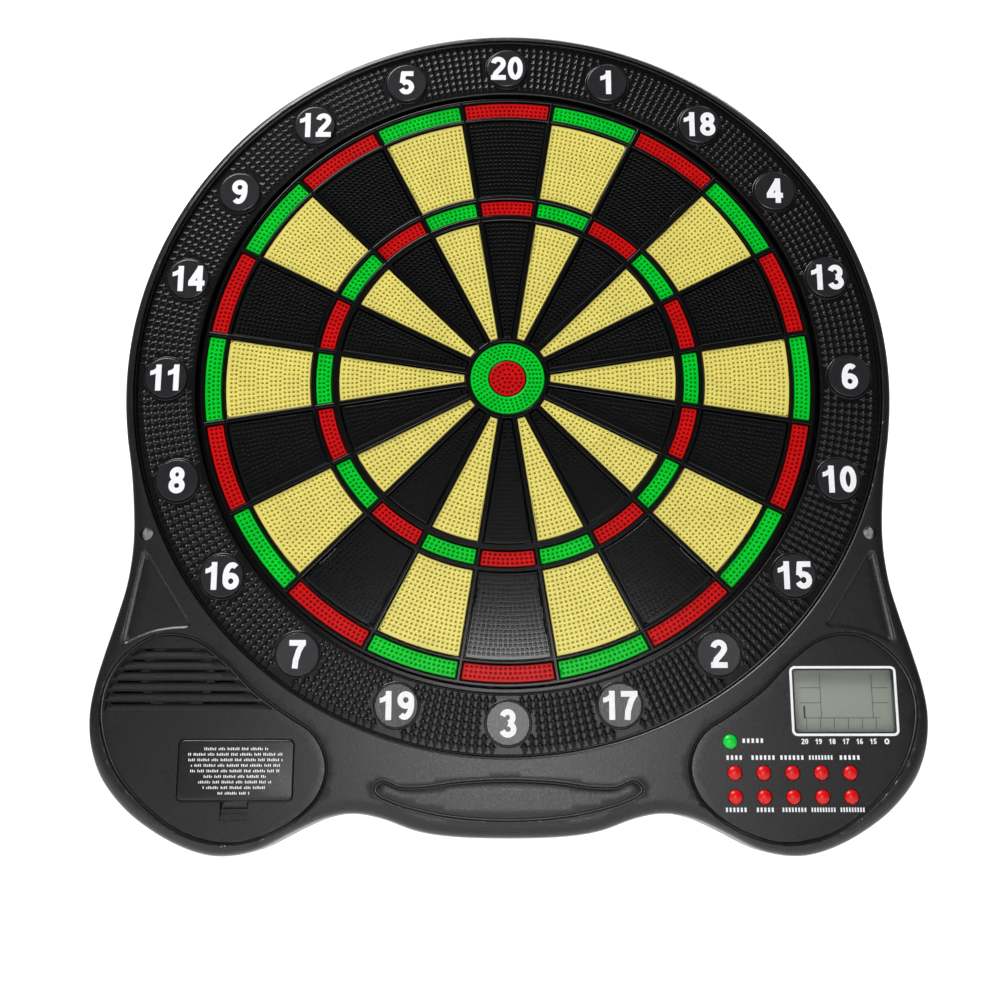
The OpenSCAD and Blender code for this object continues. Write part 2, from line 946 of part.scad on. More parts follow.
// The door's upper edge is round and turns on two small pins; its lower edge carries the finger latch.
// Its upper corners are cut back so that they clear the case as the door swings
module battery_door() {
    x0 = door_at[0] - door_w / 2;
    bottom_y = door_at[1] - door_h / 2;
    color([0.25, 0.25, 0.26])
        on_wall() {
            slab(panel_z - door_t, panel_z)
                difference() {
                    centred_box(door_at, door_w, door_h, door_corner_r - door_gap);
                    translate([x0 - 1, door_hinge[0]])
                        square([door_w + 2, door_t]);
                    for (x = [x0 - 1, x0 + door_w - door_corner_r])
                        translate([x, door_hinge[0] - door_relief])
                            square([door_corner_r + 1, door_t + door_relief]);
                }
            translate([x0 + door_corner_r, door_hinge[0], door_hinge[1]])
                rotate([0, 90, 0])
                    cylinder(r = door_t / 2, h = door_w - 2 * door_corner_r, $fn = 32);
            translate([x0 - door_pin_l, door_hinge[0], door_hinge[1]])
                rotate([0, 90, 0])
                    cylinder(r = door_pin_r, h = door_w + 2 * door_pin_l, $fn = 32);
            translate([door_at[0] - latch_w / 2, bottom_y - latch_l, latch_leg_z])
                cube([latch_w, 1.2, latch_top_z - latch_leg_z]);
            translate([door_at[0] - latch_w / 2, bottom_y - latch_l, panel_z - door_t])
                cube([latch_w, latch_l + 2, latch_top_z - panel_z + door_t]);
        }
}

module battery_box() {
    color([0.15, 0.15, 0.16])
        on_wall()
            difference() {
                slab(tray_z, bay_frame_z)
                    centred_box(door_at, tray_w + 2 * tray_wall, tray_h + 2 * tray_wall, 1);
                slab(tray_z + tray_wall, bay_frame_z + 1)
                    centred_box(door_at, tray_w, tray_h, 0.5);
            }
}

module cell(turned) {
    rotate([0, turned ? -90 : 90, 0]) {
        translate([0, 0, -cell_l / 2 - nub_l / 2])
            cylinder(r = cell_r, h = cell_l);
        translate([0, 0, cell_l / 2 - nub_l / 2])
            cylinder(r = nub_r, h = nub_l);
    }
}

module batteries() {
    color([0.75, 0.6, 0.25])
        on_wall()
            for (side = [-1, 1])
                translate([door_at[0], door_at[1] + side * cell_pitch / 2, cell_z])
                    cell(side > 0);
}

// One plate at each end of the tray, with a spring against the flat end of its cell
module battery_contacts() {
    end_x = tray_w / 2 - contact_t;
    reach = tray_w / 2 - contact_t - (cell_l + nub_l) / 2;
    color([0.8, 0.8, 0.82])
        on_wall()
            for (side = [-1, 1])
                for (up = [-1, 1])
                    translate([door_at[0], door_at[1] + up * cell_pitch / 2, cell_z]) {
                        translate([side > 0 ? end_x : -end_x - contact_t, -contact_w / 2, -contact_h / 2])
                            cube([contact_t, contact_w, contact_h]);
                        translate([side > 0 ? end_x - reach : -end_x, 0, 0])
                            rotate([0, 90, 0])
                                cylinder(r = side == up ? spring_r : nub_r, h = reach, $fn = 32);
                    }
}

// ---------------------------------------------------------------- wires and screws

// Rings of points round a route, square to its heading at each point
function unit(v) = v / norm(v);
function heading(route, i) = unit(route[min(i + 1, len(route) - 1)] - route[max(i - 1, 0)]);
function wire_ring(route, i) =
    let (along = heading(route, i), side = unit(cross(along, [0, 0, 1])), up = cross(side, along))
    [for (k = [0 : wire_sides - 1])
        route[i] + wire_r * (cos(k * 360 / wire_sides) * side + sin(k * 360 / wire_sides) * up)];

module wire(route, shift) {
    rings = len(route);
    n = wire_sides;
    translate(shift)
        polyhedron(
            points = [for (i = [0 : rings - 1]) each wire_ring(route, i)],
            faces = concat(
                [[for (k = [0 : n - 1]) n - 1 - k]],
                [for (i = [0 : rings - 2]) for (k = [0 : n - 1])
                    [i * n + k, i * n + (k + 1) % n, (i + 1) * n + (k + 1) % n, (i + 1) * n + k]],
                [[for (k = [0 : n - 1]) (rings - 1) * n + k]]
            )
        );
}

module wires() {
    color([0.7, 0.1, 0.1])
        on_wall()
            for (apart = [0, wire_pair]) {
                wire(BATTERY_WIRE, [0, -apart, 0]);
                wire(SPEAKER_WIRE, [0, apart, 0]);
            }
}

module screw(r, head_r, head_h, z0, z1) {
    difference() {
        disc(head_r, z0 - head_h, z0);
        translate([0, 0, z0 - head_h])
            rotate([180, 0, 0])
                phillips(head_r, 0);
    }
    disc(r, z0 - eps, z1);
}

module case_screws() {
    color([0.6, 0.6, 0.62])
        on_wall()
            at_case_bosses()
                screw(screw_r, screw_head_r, screw_head_h, screw_recess_z, case_screw_z);
}

module board_screws() {
    color([0.6, 0.6, 0.62])
        on_wall() {
            at_ring_bosses()
                screw(screw_r, screw_head_r, screw_head_h, board_z, board_screw_z);
            at_pcb_posts()
                screw(pcb_screw_r, pcb_screw_head_r, pcb_screw_head_h, pcb_front_z - pcb_t, pcb_front_z + pcb_screw_bite);
        }
}

// ---------------------------------------------------------------- the board

front_housing();
back_cover();
catch_ring();
spider();
backing_board();
membrane_rear();
membrane_spacer();
membrane_front();
membrane_tail();
damping_sheet();
bull_outer();
bull_inner();
for (i = [0 : len(NUMBERS) - 1])
    number_wedge(i);
power_button();
for (i = [0 : len(BUTTONS) - 1])
    game_key(i);
keypad_membrane();
circuit_board();
controller_chip();
lcd_panel();
lcd_backlight();
lcd_connector();
display_window();
speaker_frame();
speaker_magnet();
speaker_cone();
battery_door();
battery_box();
battery_contacts();
batteries();
wires();
case_screws();
board_screws();
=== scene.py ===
"""Looks of the electronic dartboard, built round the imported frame.

Lengths are millimetres in board coordinates until place() turns them into the frame's metres:
x to the right, y up the wall and z out from the wall, so a board point (x, y, z) is (x, -z, y) in the frame.
"""

import math

import bmesh
import bpy
import numpy as np
from mathutils import Matrix, Vector
from mathutils.geometry import delaunay_2d_cdt


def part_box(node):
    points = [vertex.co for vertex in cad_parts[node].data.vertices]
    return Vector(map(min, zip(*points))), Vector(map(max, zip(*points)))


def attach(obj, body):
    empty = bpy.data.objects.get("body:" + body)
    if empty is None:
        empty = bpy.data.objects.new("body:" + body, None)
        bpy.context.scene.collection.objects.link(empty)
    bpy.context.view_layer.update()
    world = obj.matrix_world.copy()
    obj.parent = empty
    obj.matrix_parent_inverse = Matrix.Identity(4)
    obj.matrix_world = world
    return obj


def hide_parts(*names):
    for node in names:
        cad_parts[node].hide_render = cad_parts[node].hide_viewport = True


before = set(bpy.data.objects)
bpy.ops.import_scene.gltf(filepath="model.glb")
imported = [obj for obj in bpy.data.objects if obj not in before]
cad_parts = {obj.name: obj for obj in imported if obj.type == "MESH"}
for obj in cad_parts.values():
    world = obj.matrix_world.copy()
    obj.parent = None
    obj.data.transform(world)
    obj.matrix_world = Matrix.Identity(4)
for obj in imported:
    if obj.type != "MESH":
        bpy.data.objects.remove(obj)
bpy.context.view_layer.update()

NUMBERS = [20, 1, 18, 4, 13, 6, 10, 15, 2, 17, 3, 19, 7, 16, 8, 11, 14, 9, 12, 5]
KEYS = ["game", "option", "player", "handicap", "light", "double", "sound", "eliminate", "score", "start"]
WEDGE = 2 * math.pi / len(NUMBERS)
TURN = 2 * math.pi


# ---------------------------------------------------------------- measures taken from the frame

def mesh_mm(node):
    """A CAD node's vertices in board millimetres, merged by place, and its triangles."""
    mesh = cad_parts[node].data
    mesh.calc_loop_triangles()
    co = np.empty(len(mesh.vertices) * 3)
    mesh.vertices.foreach_get("co", co)
    tris = np.empty(len(mesh.loop_triangles) * 3, np.int32)
    mesh.loop_triangles.foreach_get("vertices", tris)
    co = co.reshape(-1, 3)[:, [0, 2, 1]] * (1000, 1000, -1000)
    places, merged = np.unique(np.round(co, 3), axis=0, return_inverse=True)
    return places, merged.ravel()[tris].reshape(-1, 3)


def plane_loops(node, z):
    """The closed border loops of a CAD node's faces that lie at height z."""
    places, tris = mesh_mm(node)
    flat = np.all(np.abs(places[tris][:, :, 2] - z) < 0.02, axis=1)
    edges = {(t[i], t[(i + 1) % 3]) for t in tris[flat].tolist() for i in range(3)}
    ahead = {a: b for a, b in edges if (b, a) not in edges}
    loops = []
    while ahead:
        start, at = ahead.popitem()
        loop = [start]
        while at != start and at in ahead:
            loop.append(at)
            at = ahead.pop(at)
        loops.append(places[loop][:, :2])
    return [p for p in loops if len(p) > 2]


def area(loop):
    ahead = np.roll(loop, -1, axis=0)
    return float(np.sum(loop[:, 0] * ahead[:, 1] - ahead[:, 0] * loop[:, 1]) / 2)


def counter_clockwise(loop):
    return loop if area(loop) > 0 else loop[::-1]


def middle(loop):
    return (loop.min(0) + loop.max(0)) / 2


def near(loops, x, y):
    """The loop whose middle is nearest to a point, counter-clockwise."""
    return counter_clockwise(min(loops, key=lambda p: math.hypot(*(middle(p) - (x, y)))))


def box_mm(node):
    """A CAD node's ranges in x, y and z, in board millimetres."""
    low, high = (np.array(c) * 1000 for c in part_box(node))
    return (low[0], high[0]), (low[2], high[2]), (-high[1], -low[1])


def centre_mm(node):
    x, y, _ = box_mm(node)
    return (x[0] + x[1]) / 2, (y[0] + y[1]) / 2


FACE = box_mm("target_20")[2][1]
FOOT = box_mm("target_20")[2][0]
FRONT = box_mm("front_housing")[2][1]
FIELD = box_mm("battery_door")[2][1]
REAR = round(box_mm("back_cover")[2][1], 1)
RING = FACE + 0.5
RING_TOP = box_mm("catch_ring")[2][1]

top_loops = plane_loops("front_housing", FRONT)
field_loops = plane_loops("front_housing", FIELD)
OUTLINE = counter_clockwise(max(plane_loops("back_cover", 0), key=lambda p: abs(area(p))))
OPENING_R = float(np.max(np.linalg.norm(near(top_loops, 0, 0), axis=1)))
corners = np.array([v for v in mesh_mm("target_20")[0] if abs(v[2] - FACE) < 0.01])
RADII = sorted({round(float(r), 1) for r in np.linalg.norm(corners[:, :2], axis=1)})
INSET = float(min(abs(abs(v[0]) * math.cos(WEDGE / 2) - v[1] * math.sin(WEDGE / 2)) for v in corners))
BULL_R = box_mm("bull_outer")[0][1] - 1
BULL_HOLE_R = min(
    float(np.linalg.norm(v[:2])) for v in mesh_mm("bull_outer")[0] if abs(v[2] - FACE) < 0.01
)
INNER_BULL_R = max(
    float(np.linalg.norm(v[:2])) for v in mesh_mm("bull_inner")[0] if abs(v[2] - FACE) < 0.01
)


# ---------------------------------------------------------------- curves and areas

def smooth(loop, step):
    """A closed Catmull-Rom curve through a loop's points, resampled at about step."""
    b = loop
    a, c, d = np.roll(b, 1, 0), np.roll(b, -1, 0), np.roll(b, -2, 0)
    t = np.linspace(0, 1, 9)[:-1, None, None]
    curve = 0.5 * (2 * b + (c - a) * t + (2 * a - 5 * b + 4 * c - d) * t**2 + (3 * b - a - 3 * c + d) * t**3)
    return resample(curve.transpose(1, 0, 2).reshape(-1, 2), step)


def resample(loop, step):
    closed = np.vstack([loop, loop[:1]])
    lengths = np.concatenate([[0], np.cumsum(np.linalg.norm(np.diff(closed, axis=0), axis=1))])
    count = max(8, round(lengths[-1] / step))
    at = np.linspace(0, lengths[-1], count + 1)[:-1]
    return np.stack([np.interp(at, lengths, closed[:, k]) for k in (0, 1)], axis=1)


def densify(loop, step):
    """The loop with points added along its straight sides; its own corners stay."""
    out = []
    for a, b in zip(loop, np.roll(loop, -1, 0)):
        count = max(1, math.ceil(np.linalg.norm(b - a) / step))
        out += [a + (b - a) * k / count for k in range(count)]
    return np.array(out)


def inward(loop, distance):
    """A counter-clockwise loop moved inwards along its corner normals."""
    back, ahead = loop - np.roll(loop, 1, 0), np.roll(loop, -1, 0) - loop
    back = back / np.maximum(np.linalg.norm(back, axis=1, keepdims=True), 1e-9)
    ahead = ahead / np.maximum(np.linalg.norm(ahead, axis=1, keepdims=True), 1e-9)
    n = np.stack([-(back + ahead)[:, 1], (back + ahead)[:, 0]], axis=1)
    n = n / np.maximum(np.linalg.norm(n, axis=1, keepdims=True), 1e-9)
    square = np.stack([-back[:, 1], back[:, 0]], axis=1)
    return loop + n * distance / np.maximum(np.sum(n * square, axis=1, keepdims=True), 0.5)


def circle(x, y, r, count):
    a = np.arange(count) * TURN / count
    return np.stack([x + r * np.cos(a), y + r * np.sin(a)], axis=1)


def inside(points, loop):
    x, y = points[:, 0], points[:, 1]
    hit = np.zeros(len(points), bool)
    for (x0, y0), (x1, y1) in zip(loop, np.roll(loop, -1, 0)):
        if y0 != y1:
            crosses = ((y0 > y) != (y1 > y)) & (x < (x1 - x0) * (y - y0) / (y1 - y0) + x0)
            hit ^= crosses
    return hit


def distance(points, loop):
    """Distance to a closed loop, and the outward normal of the nearest side."""
    a, b = loop, np.roll(loop, -1, 0)
    side = b - a
    best = np.full(len(points), 1e9)
    nearest = np.zeros(len(points), int)
    for i in range(len(a)):
        along = np.clip(((points - a[i]) @ side[i]) / max(side[i] @ side[i], 1e-12), 0, 1)
        gap = np.linalg.norm(points - a[i] - along[:, None] * side[i], axis=1)
        closer = gap < best
        best[closer], nearest[closer] = gap[closer], i
    normal = np.stack([side[:, 1], -side[:, 0]], axis=1)
    normal = normal / np.maximum(np.linalg.norm(normal, axis=1, keepdims=True), 1e-9)
    return best, normal[nearest]


def thin(points, taken, gap):
    """The points that stay at least gap from the taken ones and from each other."""
    cells, kept = {}, []

    def clear(p):
        i, j = int(p[0] // gap), int(p[1] // gap)
        return all(
            (p[0] - q[0]) ** 2 + (p[1] - q[1]) ** 2 >= gap * gap
            for u in (i - 1, i, i + 1) for v in (j - 1, j, j + 1) for q in cells.get((u, v), ())
        )

    for p in taken:
        cells.setdefault((int(p[0] // gap), int(p[1] // gap)), []).append(p)
    for p in points:
        if clear(p):
            cells.setdefault((int(p[0] // gap), int(p[1] // gap)), []).append(p)
            kept.append(p)
    return np.array(kept).reshape(-1, 2)


# ---------------------------------------------------------------- meshes

def place(points):
    return np.asarray(points, float)[:, [0, 2, 1]] * (0.001, -0.001, 0.001)


class Shape:
    """Vertices in board millimetres and the faces between them."""

    def __init__(self):
        self.points, self.faces, self.count = [], [], 0

    def add(self, points):
        points = np.asarray(points, float).reshape(-1, 3)
        first = self.count
        self.points.append(points)
        self.count += len(points)
        return list(range(first, self.count))

    def loop(self, flat, z):
        flat = np.asarray(flat, float)
        return self.add(np.column_stack([flat, np.broadcast_to(z, len(flat))]))

    def bridge(self, a, b):
        n = len(a)
        self.faces += [(a[i], a[(i + 1) % n], b[(i + 1) % n], b[i]) for i in range(n)]

    def stack(self, loops, cap_first=False, cap_last=False):
        """Bridges one loop to the next. A loop is (flat points, z)."""
        rows = [self.loop(flat, z) for flat, z in loops]
        for a, b in zip(rows, rows[1:]):
            self.bridge(a, b)
        if cap_first:
            self.faces.append(tuple(rows[0]))
        if cap_last:
            self.faces.append(tuple(rows[-1][::-1]))
        return rows

    def lathe(self, x, y, profile, count):
        """Turns a profile of (radius, z) round an axis at x, y; the ends are closed."""
        return self.stack([(circle(x, y, r, count), z) for r, z in profile], True, True)

    def prism(self, flat, tris, z0, z1):
        """Triangles drawn out from z0 to z1, with their outer sides."""
        low, high = self.loop(flat, z0), self.loop(flat, z1)
        edges = {(t[i], t[(i + 1) % 3]) for t in tris for i in range(3)}
        self.faces += [tuple(high[i] for i in t) for t in tris]
        self.faces += [tuple(low[i] for i in t[::-1]) for t in tris]
        self.faces += [(low[a], low[b], high[b], high[a]) for a, b in edges if (b, a) not in edges]

    def slab(self, x0, x1, y0, y1, z, thick):
        """A small flat block, as a printed mark."""
        self.prism(np.array([(x0, y0), (x1, y0), (x1, y1), (x0, y1)]), [(0, 1, 2), (0, 2, 3)], z, z + thick)

    def turned(self, angle):
        """This shape's vertices turned about the board's middle."""
        c, s = math.cos(angle), math.sin(angle)
        points = np.vstack(self.points)
        return np.column_stack([
            points[:, 0] * c - points[:, 1] * s, points[:, 0] * s + points[:, 1] * c, points[:, 2]
        ])

    def join(self, points, faces):
        first = self.count
        self.add(points)
        self.faces += [tuple(first + i for i in f) for f in faces]


def piece(shape, name, material, body="root", replaces=(), sharp=35, tidy_normals=True):
    mesh = bpy.data.meshes.new(name)
    mesh.from_pydata(place(np.vstack(shape.points)).tolist(), [], shape.faces)
    if tidy_normals:
        bm = bmesh.new()
        bm.from_mesh(mesh)
        bmesh.ops.recalc_face_normals(bm, faces=bm.faces)
        bm.to_mesh(mesh)
        bm.free()
    mesh.polygons.foreach_set("use_smooth", [True] * len(mesh.polygons))
    mesh.set_sharp_from_angle(angle=math.radians(sharp))
    mesh.materials.append(MATERIALS[material])
    made = bpy.data.objects.new(name, mesh)
    bpy.context.scene.collection.objects.link(made)
    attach(made, body)
    if replaces:
        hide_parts(*replaces)
    return made


def triangulate(points, edges, holes, border=None):
    """Delaunay triangles inside the border and out of the holes, with each vertex's first source point."""
    coords, _, faces, sources, _, _ = delaunay_2d_cdt([Vector(p) for p in points], edges, [], 0, 1e-7)
    flat = np.array([(c.x, c.y) for c in coords])
    tris = np.array([list(f) for f in faces])
    centres = flat[tris].mean(1)
    keep = np.ones(len(tris), bool) if border is None else inside(centres, border)
    for hole in holes:
        low, high = hole.min(0) - 0.1, hole.max(0) + 0.1
        close = np.all((centres > low) & (centres < high), axis=1) & keep
        keep[np.flatnonzero(close)[inside(centres[close], hole)]] = False
    return flat, tris[keep].tolist(), [s[0] if s else -1 for s in sources]


def closed_edges(first, count):
    return [(first + i, first + (i + 1) % count) for i in range(count)]


# ---------------------------------------------------------------- materials

def linear(srgb):
    return [((c / 255 + 0.055) / 1.055) ** 2.4 if c > 10 else c / 255 / 12.92 for c in srgb]


def finish(name, colour, rough, mottle=0.12, patch=90, grain=1800, bump=0.15, depth=0.0002, **sockets):
    """A moulded or painted surface: blotches of slightly different colour and gloss, and a fine grain."""
    made = bpy.data.materials.new(name)
    made.use_nodes = True
    nodes, links = made.node_tree.nodes, made.node_tree.links
    shader = nodes["Principled BSDF"]
    for socket, value in sockets.items():
        shader.inputs[socket.replace("_", " ")].default_value = value
    where = nodes.new("ShaderNodeTexCoord")

    def noise(scale, detail):
        node = nodes.new("ShaderNodeTexNoise")
        node.inputs["Scale"].default_value = scale
        node.inputs["Detail"].default_value = detail
        links.new(where.outputs["Object"], node.inputs["Vector"])
        return node.outputs["Fac"]

    blotches, fine = noise(patch, 4), noise(grain, 2)
    ramp = nodes.new("ShaderNodeValToRGB")
    base = np.array(linear(colour))
    for stop, place_at, factor in ((0, 0.3, 1 - mottle), (1, 0.7, 1 + mottle)):
        ramp.color_ramp.elements[stop].position = place_at
        ramp.color_ramp.elements[stop].color = (*np.clip(base * factor, 0, 1), 1)
    links.new(blotches, ramp.inputs["Fac"])
    links.new(ramp.outputs["Color"], shader.inputs["Base Color"])
    gloss = nodes.new("ShaderNodeMapRange")
    gloss.inputs["To Min"].default_value = max(0.02, rough - 0.08)
    gloss.inputs["To Max"].default_value = min(1, rough + 0.08)
    links.new(fine, gloss.inputs["Value"])
    links.new(gloss.outputs["Result"], shader.inputs["Roughness"])
    relief = nodes.new("ShaderNodeBump")
    relief.inputs["Strength"].default_value = bump
    relief.inputs["Distance"].default_value = depth
    links.new(fine, relief.inputs["Height"])
    links.new(relief.outputs["Normal"], shader.inputs["Normal"])
    return made


MATERIALS = {
    "case": finish("case_plastic", (27, 27, 28), 0.3, patch=60, grain=1100, bump=0.22),
    "back": finish("back_plastic", (30, 30, 32), 0.5, patch=60, grain=1300, bump=0.4),
    "ring": finish("ring_plastic", (9, 9, 10), 0.26, patch=50, bump=0.1, Specular_IOR_Level=0.28),
    "disc": finish("disc_plastic", (34, 34, 37), 0.24, patch=150, grain=1200, bump=0.3),
    "print": finish("print_white", (245, 245, 247), 0.5, mottle=0.03, patch=400, grain=4000, bump=0.1),
    "web": finish("web_plastic", (9, 9, 9), 0.2, patch=80, bump=0.1, Specular_IOR_Level=0.25),
    "red": finish("segment_red", (200, 13, 15), 0.3, mottle=0.1, patch=70, bump=0.1,
                  Specular_IOR_Level=0.15),
    "green": finish("segment_green", (0, 200, 46), 0.3, mottle=0.1, patch=70, bump=0.1,
                    Specular_IOR_Level=0.15),
    "cream": finish("segment_cream", (231, 218, 112), 0.34, mottle=0.05, patch=70, bump=0.1),
    "black": finish("segment_black", (9, 10, 10), 0.16, mottle=0.2, patch=70, bump=0.05),
    "hardboard": finish("hardboard", (116, 84, 54), 0.8, mottle=0.3, patch=500, grain=3000, bump=0.5),
    "film": finish("polyester_film", (190, 205, 205), 0.2, mottle=0.04, patch=40, Alpha=0.7),
    "foam": finish("foam", (52, 52, 56), 0.9, mottle=0.25, patch=900, grain=2500, bump=0.8),
    "rubber": finish("keypad_rubber", (126, 126, 130), 0.65, mottle=0.06, patch=120, bump=0.2),
    "board": finish("circuit_board", (24, 96, 52), 0.35, mottle=0.25, patch=700, grain=2500, bump=0.15),
    "epoxy": finish("chip_epoxy", (24, 24, 25), 0.55, mottle=0.1, patch=400, bump=0.2),
    "lcd": finish("lcd_glass", (184, 190, 178), 0.2, mottle=0.05, patch=45, grain=900, bump=0.03),
    "ink": finish("lcd_ink", (58, 64, 58), 0.4, mottle=0.06, patch=300, bump=0.05),
    "guide": finish("light_guide", (235, 235, 225), 0.3, mottle=0.03, patch=100, bump=0.05),
    "zebra": finish("connector_rubber", (214, 150, 160), 0.6, mottle=0.15, patch=900, bump=0.1),
    "clear": finish("window_clear", (70, 72, 72), 0.08, mottle=0.05, patch=30, bump=0.02, Alpha=0.12),
    "magnet": finish("magnet", (70, 70, 74), 0.5, mottle=0.2, patch=400, bump=0.4, Metallic=0.6),
    "paper": finish("speaker_paper", (34, 34, 36), 0.85, mottle=0.25, patch=700, bump=0.6),
    # Painted shade: the speaker frame is coloured near-black so the louvre slots in front of it read dark, as
    # if in shade.
    "painted": finish("speaker_frame_painted_shade", (24, 24, 26), 0.45, mottle=0.15, patch=300, bump=0.3),
    "contact": finish("contact_steel", (205, 205, 210), 0.25, mottle=0.06, patch=300, bump=0.1, Metallic=1),
    "sleeve": finish("battery_sleeve", (176, 138, 52), 0.3, mottle=0.06, patch=90, bump=0.05),
    "jacket": finish("wire_jacket", (176, 24, 26), 0.4, mottle=0.08, patch=300, bump=0.1),
    "screw": finish("screw_steel", (150, 150, 156), 0.3, mottle=0.12, patch=600, bump=0.25, Metallic=1),
    "key_red": finish("button_red", (222, 6, 10), 0.3, mottle=0.05, patch=200, bump=0.04),
    "key_green": finish("button_green", (0, 212, 60), 0.3, mottle=0.05, patch=200, bump=0.04),
}


# ---------------------------------------------------------------- front housing

WALL = 2.4
UNDERSIDE = FIELD - WALL
ROUND_W, ROUND_DROP = 6.5, 7.0
GROOVE_S = [-1.3, -0.85, -0.45, -0.1, 0.45, 0.85, 1.25, 1.8]
GROOVE_Z = [0, -0.08, -0.65, -1.8, -1.95, -1.5, -1.05, -1]
STEEP_S = (-0.45, -0.1, 0.45)
PAD_S = (-0.5, -0.11, 0.11, 0.31, 0.76, 0.99, 1.35, 2.2, 2.86, 3.9)
LOUVRE_FOOT, LOUVRE_SLOT = 1.1, 1.9
SMILE_S = [-1.6, -1.1, -0.8, -0.45, -0.1, 0.4, 0.8, 1.3]
SMILE_Z = [0, 0.15, 0.05, -0.7, -1.5, -1.6, -1.15, -1]
TUBE_R = 5.0
TUBE_FOOT = 2.7
LEDGE = FIELD - 2.3
LATCH_STEPS = [(-237.2, 21.2), (-237.5, 24.4), (-240.0, 24.5), (-240.3, 25.7), (-243.1, 25.8)]


def quarter_round(d, width, drop):
    t = np.clip(1 - d / width, 0, 1)
    return drop * (1 - np.sqrt(1 - t * t))


def rounded_off(loop):
    """The loop with its corners rounded to a few millimetres."""
    for _ in range(5):
        loop = (np.roll(loop, 1, axis=0) + 2 * loop + np.roll(loop, -1, axis=0)) / 4
    return loop


def signed(points, loop):
    gap, normal = distance(points, loop)
    return np.where(inside(points, loop), gap, -gap), normal


class Relief:
    """The height of the housing's front at any point."""

    def __init__(self):
        self.outline = smooth(OUTLINE, 2.4)
        self.lobes = [smooth(near(top_loops, side * 157, -201), 1.7) for side in (-1, 1)]
        self.pads = [rounded_off(resample(near(top_loops, side * 195, -124), 1.2)) for side in (-1, 1)]
        self.smile = smooth(near(top_loops, 0, -232), 1.6)

    def height(self, p):
        z = np.full(len(p), FRONT) - 0.25 * (p[:, 0] / 220) ** 2
        z -= quarter_round(distance(p, self.outline)[0], ROUND_W, ROUND_DROP)
        z -= quarter_round(np.linalg.norm(p, axis=1) - OPENING_R, 0.9, 0.5)
        for lobe in self.lobes:
            s, _ = signed(p, lobe)
            flat = np.clip((s + 1.3) / 2.6, 0, 1)
            z = z * (1 - flat) + FRONT * flat + np.interp(s, GROOVE_S, GROOVE_Z)
        for pad in self.pads:
            s, normal = signed(p, pad)
            outer = np.clip(normal[:, 0] * np.sign(p[:, 0]), 0, 1)
            width = 0.9 + 1.7 * outer
            z += np.interp(s / width, [-0.12, 0.12, 0.85, 1.1, 1.5], [0, -0.35, -0.65, -1.25, -1])
        s, _ = signed(p, self.smile)
        return z + np.interp(s, SMILE_S, SMILE_Z)


